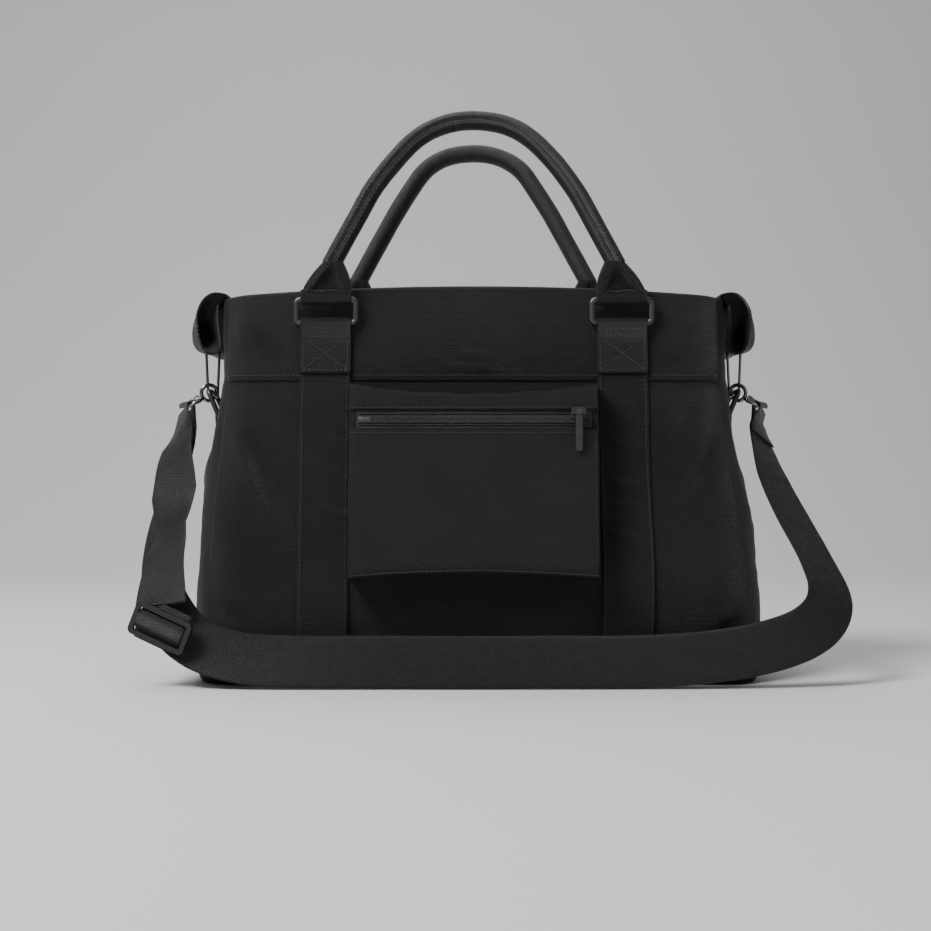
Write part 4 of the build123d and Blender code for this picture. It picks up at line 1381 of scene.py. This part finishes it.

# Wings: the mouth's two ends reach past the bag, fold over outwards and are held down by wire clips. Each is
# a cuff of nylon: out over the rim, round the tip and back up inside itself. Near-black matte dishes in its
# open ends are painted shade for the hollow within.
# The cuffs' inside: a near-black matte cloth with no sheen, painted shade for the hollow of the fold
painted_shade_inside = cloth_material(
    "wing_painted_shade", twill, (0.001, 0.001, 0.001), (0.003, 0.003, 0.0031), 0.8, 0.3, 0.0003, 0.0, Yarn=0.0008
)
wing_route = [
    (189.5, 291.5),
    (197, 294),
    (207, 291),
    (217.5, 279),
    (219.8, 262),
    (215.5, 250.5),
    (203, 249),
    (198, 255),
    (197, 266),
    (197, 276),
    (196, 284),
]
for wall, side in (("left", -1), ("right", 1)):
    flat_line = even_line(route_line([(x * mm, 0, z * mm) for x, z in wing_route]), 1.5 * mm)
    far = run_length(flat_line) / run_length(flat_line)[-1]
    share = np.linspace(-1, 1, 61)[None]
    tip = np.exp(-(((far - 0.52) / 0.26) ** 2))[:, None]
    half = 40 * mm - 7 * mm * tip * share**2 - 5 * mm * tip
    sag = -5.5 * mm * tip * share**2
    crumple = drape(share * 40 * mm, far[:, None] * 120 * mm, 51 + side, 16, 46, 0.9) * (0.25 + 0.75 * tip)
    push = 2.6 * mm * tip * np.cos(share * math.pi * 1.4)
    x = flat_line[:, :1] + crumple * 0.8 + push - 6.5 * mm * tip * np.abs(share) ** 3
    z = flat_line[:, 2:] + sag * 0.5 + crumple * 0.5
    y = share * half
    points = np.stack([side * x, -side * y + 0 * x, z + 0 * y], axis=-1)
    wing = grid_piece(
        f"{wall}_wing_cloth", points[:, ::-1], np.stack([y + 0 * x, far[:, None] * 0.13 + 0 * y], axis=-1)
    )
    thicken(wing, 1.5 * mm, 0.0)
    finish(wing, nylon, f"{wall}_wing", "nylon_cloth", f"{wall}_wing")
    rows = []
    for edge in (-0.93, 0.93):
        column = int(round((edge + 1) / 2 * 60))
        out_way = unit(
            np.stack([side * (flat_line[:, 0] - 0.204), 0 * far, flat_line[:, 2] - 0.268], axis=-1)
        )
        run = slice(6, int(len(far) * 0.6))
        rows.append((points[run, column] + out_way[run] * 0.8 * mm, out_way[run]))
    stitches(f"{wall}_wing_stitches", f"{wall}_wing", "nylon_cloth", rows)
    # The cuff's two open ends are each closed by a dish pressed in, coloured near black: painted shade for
    # the hollow inside
    centre = np.array([206 * mm, 270 * mm])
    ring_share = np.linspace(0.985, 0.02, 14)[:, None]
    for end, end_name in ((-1, "rear"), (1, "front")):
        edge = 0 if end == side else 60
        rim_x, rim_z, rim_y = x[:, edge], z[:, edge], np.abs(y[:, edge])
        dish_x = centre[0] + (rim_x[None] - centre[0]) * ring_share
        dish_z = centre[1] + (rim_z[None] - centre[1]) * ring_share
        dish_y = (rim_y[None] - 1.0 * mm) - 16 * mm * (1 - ring_share**2)
        dish_points = np.stack([side * dish_x, end * dish_y, dish_z], axis=-1)
        if end == side:
            dish_points = dish_points[:, ::-1]
        dish_flat = np.stack([dish_points[..., 0], dish_points[..., 2]], axis=-1)
        dish = grid_piece(f"{wall}_wing_painted_shade_{end_name}", dish_points, dish_flat)
        thicken(dish, 0.8 * mm)
        # The dish's near-black colour is painted shade, not the colour of a lining
        finish(dish, painted_shade_inside, f"{wall}_wing", "lining_cloth")

# Mouth: two nylon flaps hang from the rim's inside and meet at a coil zip along the middle.
flap_x = np.linspace(-181, 181, 150)[None] * mm
for wall, way in (("rear", -1), ("front", 1)):
    into = np.clip(np.abs(flap_x) - 162.2 * mm, 0, 21.4 * mm)
    outer = np.minimum(28.4 * mm + np.sqrt((21.5 * mm) ** 2 - into**2), 47.6 * mm)
    across = np.linspace(0, 1, 24)[:, None]
    y = 5.6 * mm + across * (outer - 5.6 * mm)
    slack = np.clip((y - 15.5 * mm) / (9 * mm), 0, 1) * np.sin(math.pi * across) ** 0.5
    z = 285.2 * mm + slack * (drape(flap_x, y, 61 + way, 20, 70, 0.7) - 1.0 * mm)
    z = z + 0.5 * mm * np.exp(-((across / 0.06) ** 2))
    points = np.stack([flap_x + 0 * y, way * y, z + 0 * y], axis=-1)
    flat = np.stack([flap_x + 0 * y, y], axis=-1)
    if way < 0:
        points, flat = points[::-1], flat[::-1]
    flap = grid_piece(f"{wall}_flap_cloth", points, flat)
    thicken(flap, 1.3 * mm)
    finish(flap, nylon, f"{wall}_flap", "nylon_cloth", f"{wall}_flap")
    row_x = np.linspace(-176, 176, 120) * mm
    flap_row = np.stack([row_x, np.full(120, way * 7.4 * mm), np.full(120, 285.55 * mm)], axis=-1)
    stitches(f"{wall}_flap_stitches", f"{wall}_flap", "nylon_cloth", [(flap_row, np.array([0, 0, 1.0]))])
    tape_line = np.stack(
        [np.linspace(-168, 168, 60) * mm, np.full(60, way * 7.7 * mm), np.full(60, 283.5 * mm)], axis=-1
    )
    main_tape = carried(
        f"{wall}_main_zip_tape",
        tape_line,
        np.tile([0, 1.0, 0], (60, 1)),
        webbing_section(15 * mm, 0.7 * mm)[None],
    )
    finish(main_tape, zip_tape, f"{wall}_flap", "zip", f"{wall}_zip_tape")
    coil_y = np.stack(
        [np.linspace(-157, 157, 60) * mm, np.full(60, way * 0.25 * mm), np.full(60, 284.0 * mm)], axis=-1
    )
    zip_coil(
        f"{wall}_main_zip_coil",
        f"{wall}_flap",
        coil_y,
        np.array([0, way * 1.0, 0]),
        np.array([0, 0, 1.0]),
        (1,),
        "zip",
    )

# Base board: stiff grey fibreboard wrapped in the lining, loose on the bag's floor.
board = cloth_material(
    "covered_board", twill, (0.02, 0.02, 0.021), (0.045, 0.045, 0.047), 0.7, 0.3, 0.0003, 0.05, Yarn=0.0006
)
refinish(board, "base_board")

# Strap slide: moulded black plastic with a fine sparked texture and slightly polished edges.
plastic, plastic_grain = speckled(
    "black_plastic", 1400, 3, (0.003, 0.003, 0.003), (0.012, 0.012, 0.0125), 0.25, 0.3
)
plastic_tree = plastic.node_tree
plastic_bump = plastic_tree.nodes.new("ShaderNodeBump")
plastic_bump.inputs["Strength"].default_value = 0.25
plastic_bump.inputs["Distance"].default_value = 0.0002
plastic_tree.links.new(plastic_grain.outputs["Fac"], plastic_bump.inputs["Height"])
plastic_tree.links.new(
    plastic_bump.outputs[0], plastic_tree.nodes["Principled BSDF"].inputs["Normal"]
)
refinish(plastic, "strap_slide")
